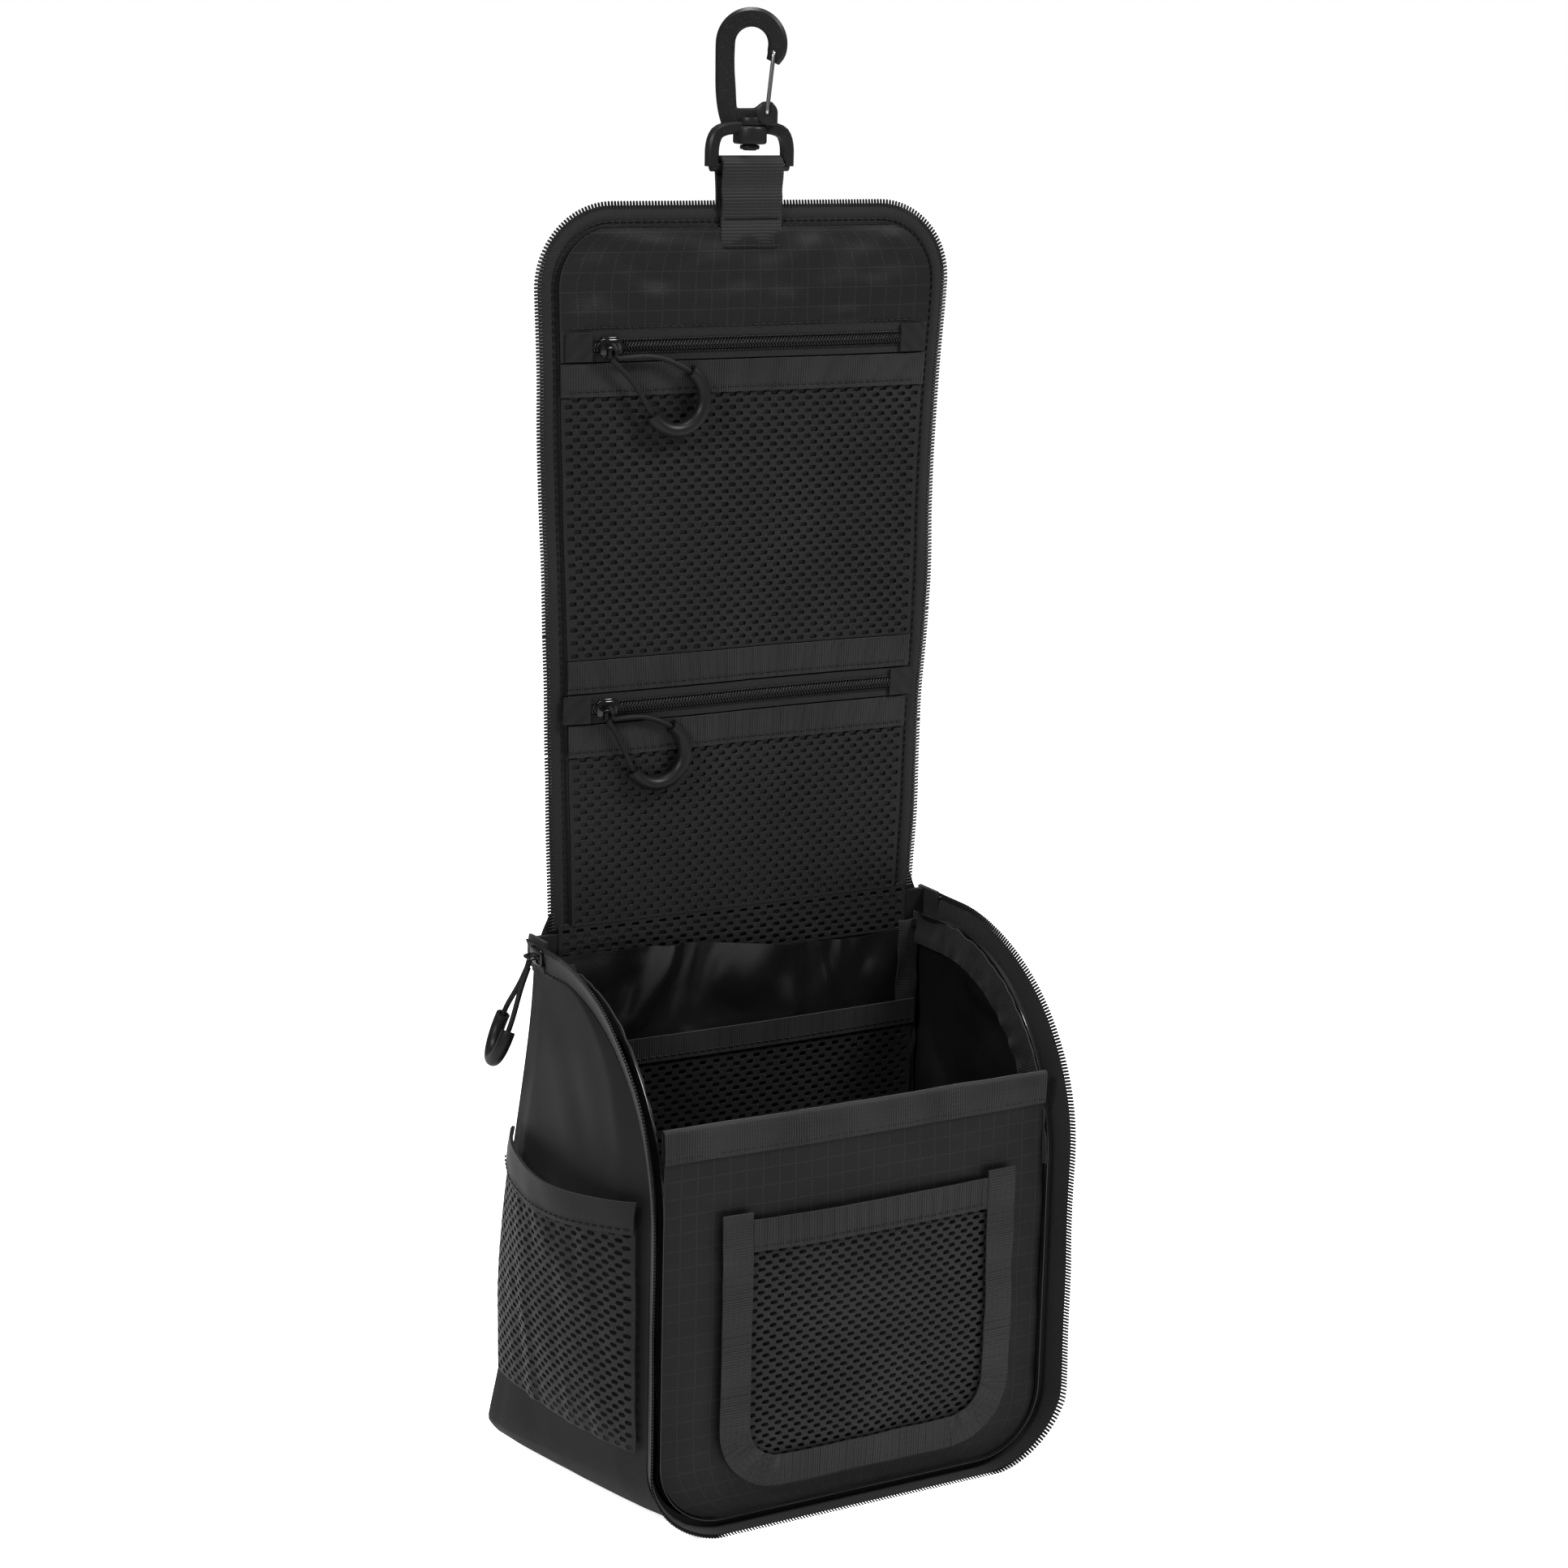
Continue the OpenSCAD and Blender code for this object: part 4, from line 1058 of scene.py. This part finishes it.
def front_place(low, high, proud, half=81):
    def place(u, v):
        z = low + (high - low) * v
        width = half if z > 30 else half - 26.2 + math.sqrt(max(26.2**2 - (30 - z) ** 2, 4))
        x = (2 * u - 1) * width
        return (x, -45 - proud - front_swell(x, z), z)

    return place


front = grid("front_wall", 90, 90, front_place(3.8, 150, 0), (162, 146))
smooth(modify(front, "SOLIDIFY", thickness=0.0009, offset=0), 60)
dress(front, ripstop, "ripstop", "bag", "front_outer")


def folded_tape(name, place, columns, width, ribs_length):
    """Ribbed tape folded over an edge; place(u, down, out) puts a point of its section."""
    section = [
        (width, 0.9), (width * 0.5, 1.1), (0.6, 1.0), (-0.3, 0.4), (-0.3, -0.4), (0.6, -1.0),
        (width * 0.5, -1.1), (width, -0.9)
    ]

    def corner(u, v):
        down, out = section[round(v * 7)]
        rib = ribs(u * ribs_length, 1.05, 0.3) * (1 if out > 0 else -1)
        return place(u, down, out + rib)

    tape = grid(name, columns, 7, corner, (ribs_length, 2 * width))
    return smooth(modify(tape, "SOLIDIFY", thickness=0.0005, offset=0), 60)


def front_top(u, down, out):
    x = (2 * u - 1) * 81
    z = 155 - down + 0.5 * noise.noise(Vector((x / 30, 1, 1)))
    return (x, -45 - out - front_swell(x, z), z)


binding = folded_tape("front_tape", front_top, 620, 12, 162)
dress(binding, grosgrain, "grosgrain", "bag", "front_binding")
row = stitch_row("front_tape_stitches", lambda t: front_top(t, 10.2, 1.3), 162)
dress(row, thread_black, "grosgrain", "bag")


# ---- Front pocket ----
# A flat U of mesh on the front wall, edged with narrow grosgrain and topped by 12 mm tape
# whose ends fold under.
def pocket_half(z, inset=0.0):
    if z > 39:
        return 62 - inset
    return 36 + math.sqrt(max((26 - inset) ** 2 - (39 - z) ** 2, 0))


def pocket_place(u, v):
    z = 18 + 90 * v
    x = 4 + (2 * u - 1) * pocket_half(z, 5.0)
    return (x, -46.6 - front_swell(x, z) - 0.8 * math.sin(math.pi * u) * v, z)


pocket = mesh_cloth("front_pocket_cloth", 122, 94, pocket_place)
dress(pocket, mesh_black, "mesh", "bag", "front_pocket_mesh")
outline = [(-62, 121), *[(-62, 108 - 3 * k) for k in range(24)]]
outline += [
    (-36 - 26 * math.cos(math.radians(a)), 39 - 26 * math.sin(math.radians(a))) for a in range(0, 91, 5)
]
outline += [(-33 + 3 * k, 13) for k in range(23)]
outline += [
    (36 + 26 * math.sin(math.radians(a)), 39 - 26 * math.cos(math.radians(a))) for a in range(0, 91, 5)
]
outline += [*[(62, 39 + 3 * k) for k in range(24)], (62, 121)]
outline = rounded([(x, z) for x, z in outline], 1)
stops = [0.0]
for a, b in zip(outline, outline[1:]):
    stops.append(stops[-1] + (b - a).length)


def edging_place(u, v):
    length = u * stops[-1]
    k = max(1, next((n for n, stop in enumerate(stops) if stop >= length - 1e-6), len(stops) - 1))
    a, b = outline[k - 1], outline[k]
    point = a.lerp(b, (length - stops[k - 1]) / max(stops[k] - stops[k - 1], 1e-9))
    ahead = (b - a).normalized()
    x, z = point[0] - ahead[1] * (12 * v - 0.3) + 4, point[1] + ahead[0] * (12 * v - 0.3)
    return (x, -47.9 - front_swell(x, z) - ribs(length, 1.05, 0.28), z)


edging = grid("front_pocket_edge", 1100, 3, edging_place, (stops[-1], 5))
smooth(modify(edging, "SOLIDIFY", thickness=0.0006, offset=0), 60)
dress(edging, grosgrain, "grosgrain", "bag", "front_pocket_edging")


def pocket_top(u, v):
    z = 106 + 12 * v
    x = 4 + (2 * u - 1) * 55
    lift = 0.8 * math.sin(math.pi * u)
    return (x, -47.4 - front_swell(x, z) - lift - ribs(x, 1.05, 0.28), z)


top = grid("front_pocket_tape", 480, 4, pocket_top, (125, 12))
smooth(modify(top, "SOLIDIFY", thickness=0.0008, offset=0), 60)
dress(top, grosgrain, "grosgrain", "bag", "front_pocket_binding")


def pocket_stitch(t):
    x = 4 + (2 * t - 1) * 50
    return (x, -48.1 - front_swell(x, 108) - 0.8 * math.sin(math.pi * t), 108)


row = stitch_row("front_pocket_stitches", pocket_stitch, 100)
dress(row, thread_black, "grosgrain", "bag")


# ---- Side pockets ----
# Mesh gathered on elastic bows away from both sides; the elastic is a smooth folded band.
def side_out(side, y, z, gathered=1.0):
    """x of a side pocket's face."""
    share = (y + 43) / 94
    rise = (z - 34) / 96
    bow = math.sin(math.pi * share) ** 0.75
    pleat = gathered * 0.9 * noise.noise(Vector((y / 7, z / 60, side * 2.0))) * min(
        1, 4 * share, 4 * (1 - share)
    )
    a = 200 - z
    base = 85.8 + belly(a if side < 0 else 544 - a, y, z)
    x = side * (base + bow * (3 + 7.5 * max(0, rise) ** 0.8) + pleat)
    return slump((x, y, z))[0]


elastic = paint("elastic", 0.008, 0.022, 0.6, pitch=0.0006, bump=0.4, Sheen_Weight=0.2)
for side, name in ((-1, "left"), (1, "right")):
    cloth = mesh_cloth(f"side_cloth_{name}", 98, 88, lambda u, v: (
        side_out(side, -43 + 94 * u, 34 + 86 * v), -43 + 94 * u, 34 + 86 * v))
    dress(cloth, mesh_black, "mesh", "bag", f"side_mesh_{name}")
    band = grid(f"side_band_{name}", 60, 8, lambda u, v: (
        side_out(side, -43 + 94 * u, 118 + 12 * v, 0) + side * (0.9 - 0.3 * abs(2 * v - 1)), -43 + 94 * u,
        118 + 12 * v - 3.5 * math.sin(math.pi * u)), (98, 12))
    smooth(modify(band, "SOLIDIFY", thickness=0.0012, offset=0), 60)
    dress(band, elastic, "elastic", "bag", f"side_elastic_{name}")

    def side_stitch(t):
        y = -43 + 94 * t
        return (side_out(side, y, 119.5, 0) + side * 1.7, y, 119.8 - 3.5 * math.sin(math.pi * t))

    row = stitch_row(f"side_stitches_{name}", side_stitch, 94)
    dress(row, thread_black, "elastic", "bag")

# ---- Inner pocket ----
# A flat mesh pocket on the inside of the back, edged by grosgrain with a centre stitch.
inner = mesh_cloth("inner_pocket_cloth", 152, 112, lambda u, v: (
    (2 * u - 1) * 77, 44.6 - 1.5 * math.sin(math.pi * u) * v, 40 + 112 * v))
dress(inner, mesh_black, "mesh", "bag", "inner_pocket_mesh")


def inner_edge(u, v):
    sag = 1.5 * math.sin(math.pi * u)
    return ((2 * u - 1) * 77.5, 43.9 - sag - ribs(155 * u, 1.05, 0.28), 150 + 10 * v)


edge = grid("inner_pocket_tape", 560, 4, inner_edge, (155, 10))
smooth(modify(edge, "SOLIDIFY", thickness=0.0008, offset=0), 60)
dress(edge, grosgrain, "grosgrain", "bag", "inner_pocket_binding")
row = stitch_row(
    "inner_pocket_stitches", lambda t: ((2 * t - 1) * 76, 43.1 - 1.5 * math.sin(math.pi * t), 152), 152
)
dress(row, thread_black, "grosgrain", "bag")


# ---- Body zip ----
# The body's half of the long zip follows the open edge of the wall: over an arch, down the
# front, along the base and up again. Its tape flares outwards when the lid is open.
def rim(u):
    """Place, inward direction and outward direction of the body's zip edge."""
    total = [26, 125.664, 90, 47.124, 110, 47.124, 90, 125.664, 26]
    length = u * sum(total)
    side = -1
    if length > sum(total) / 2:
        side, length = 1, sum(total) - length
    if length < 26:
        return Vector((side * 85, 53 - length, 200)), Vector((0, 0, -1)), Vector((side, 0, 0))
    if length < 151.664:
        angle = (length - 26) / 80
        spot = Vector((side * 85, 27 - 80 * math.sin(angle), 120 + 80 * math.cos(angle)))
        return spot, Vector((0, math.sin(angle), -math.cos(angle))), Vector((side, 0, 0))
    a = 80 + length - 151.664
    x, z, out = tub_point(a)
    return Vector((side * -x, -53, z)), Vector((0, 1, 0)), Vector((side * -out[0], 0, out[1]))


rim_length = 687.576


def rim_place(u, inward, outward):
    spot, inside, out = rim(u)
    lift = max(0, min(1, spot[2] / 25))
    flare = (3.4 + 1.1 * noise.noise(Vector((u * 21, 0.5, 7)))) * max(0, 1 - inward / 8) ** 1.5 * lift
    back = min(1, (spot[1] + 53) / 90) if spot[2] > 100 else 0
    return spot + inside * inward + out * (outward + flare * (1 - 0.3 * back)) + inside * -1.0 * lift * max(
        0, 1 - inward / 9
    )


tape = grid("body_tape", 420, 6, lambda u, v: rim_place(u, 1.0 + 9.5 * v, 0.5), (rim_length, 9.5))
smooth(modify(tape, "SOLIDIFY", thickness=0.0007, offset=0), 60)
dress(tape, zip_tape, "zip_tape", "bag", "body_zip_tape")
spots = []
count = int(rim_length / 1.25)
for k in range(count):
    u = (k + 0.5) / count
    here, inner_point = rim_place(u, 0.2, 0.5), rim_place(u + 0.0004, 3.2, 0.5)
    spots.append((here, inner_point - here, rim(u)[2]))
teeth = tooth_row("body_teeth", spots, 3.0, 0.95)
dress(teeth, coil_black, "zip_coil", "bag", "body_zip_coil")
spots = []
for k in range(int(rim_length / 2.9)):
    u = (k + 0.5) / int(rim_length / 2.9)
    here = rim_place(u, 8.6, 1.0)
    spots.append((here, rim_place(u + 0.001, 8.6, 1.0) - here, rim(u)[2]))
row = tooth_row("body_seam", spots, 2.1, 0.6)
dress(row, thread_black, "zip_tape", "bag")


# ---- Inner bindings ----
# Puckered grosgrain covers the raw seams inside both arches.
def arch_place(side):
    def place(u, v):
        run = 138 * u - 22
        angle = max(0, run) / 73
        pucker = 1.3 * noise.noise(Vector((u * 24, v * 2, side)))
        radius = 80 - 5.5 - 12 * v + 0.8 * pucker
        y, z = 27 - min(0, run) - radius * math.sin(angle), 120 + radius * math.cos(angle)
        x = 85 - 5.2 - 1.2 * v - pucker * v - ribs(138 * u, 1.05, 0.28) + belly(200 - z, y, z) * 0.5
        return slump((side * x, y, z))

    return place


for side, name in ((-1, "left"), (1, "right")):
    tape = grid(f"arch_tape_{name}", 520, 6, arch_place(side), (138, 12))
    smooth(modify(tape, "SOLIDIFY", thickness=0.0006, offset=0), 60)
    dress(tape, grosgrain, "grosgrain", "bag", f"arch_binding_{name}")

# Narrower tape covers the upright seams at the rear corners.
for side, name in ((-1, "left"), (1, "right")):
    def corner_place(u, v):
        rib = ribs(160 * v, 1.05, 0.28)
        rumple = 1.6 * noise.noise(Vector((u * 2, v * 14, side)))
        return slump((side * (80 - 9 * u - rib), 46.5 + rumple - 3 * u * (1 - u) - rib, 36 + 156 * v))

    tape = grid(f"corner_tape_{name}", 6, 480, corner_place, (9, 156))
    smooth(modify(tape, "SOLIDIFY", thickness=0.0006, offset=0), 60)
    dress(tape, grosgrain, "grosgrain", "bag")

# ---- Hinge tabs ----
# A folded webbing tab holds the ends of the zip at each hinge corner.
tabs = []
for side in (-1, 1):
    def tab_place(u, v):
        out = 85.6 + 0.6 * math.sin(math.pi * v)
        return (side * out, 41.5 + 13.5 * u, 191 + 12 * v + ribs(13 * u, 1.1, 0.2))

    tab = grid("tab", 30, 10, tab_place, (13, 12))
    tabs.append(modify(tab, "SOLIDIFY", thickness=0.0014, offset=0))
tabs = join("hinge_webbing", tabs)
dress(smooth(tabs, 60), webbing, "webbing", "bag", "hinge_tabs")

bpy.data.objects.remove(tooth)
low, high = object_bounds()
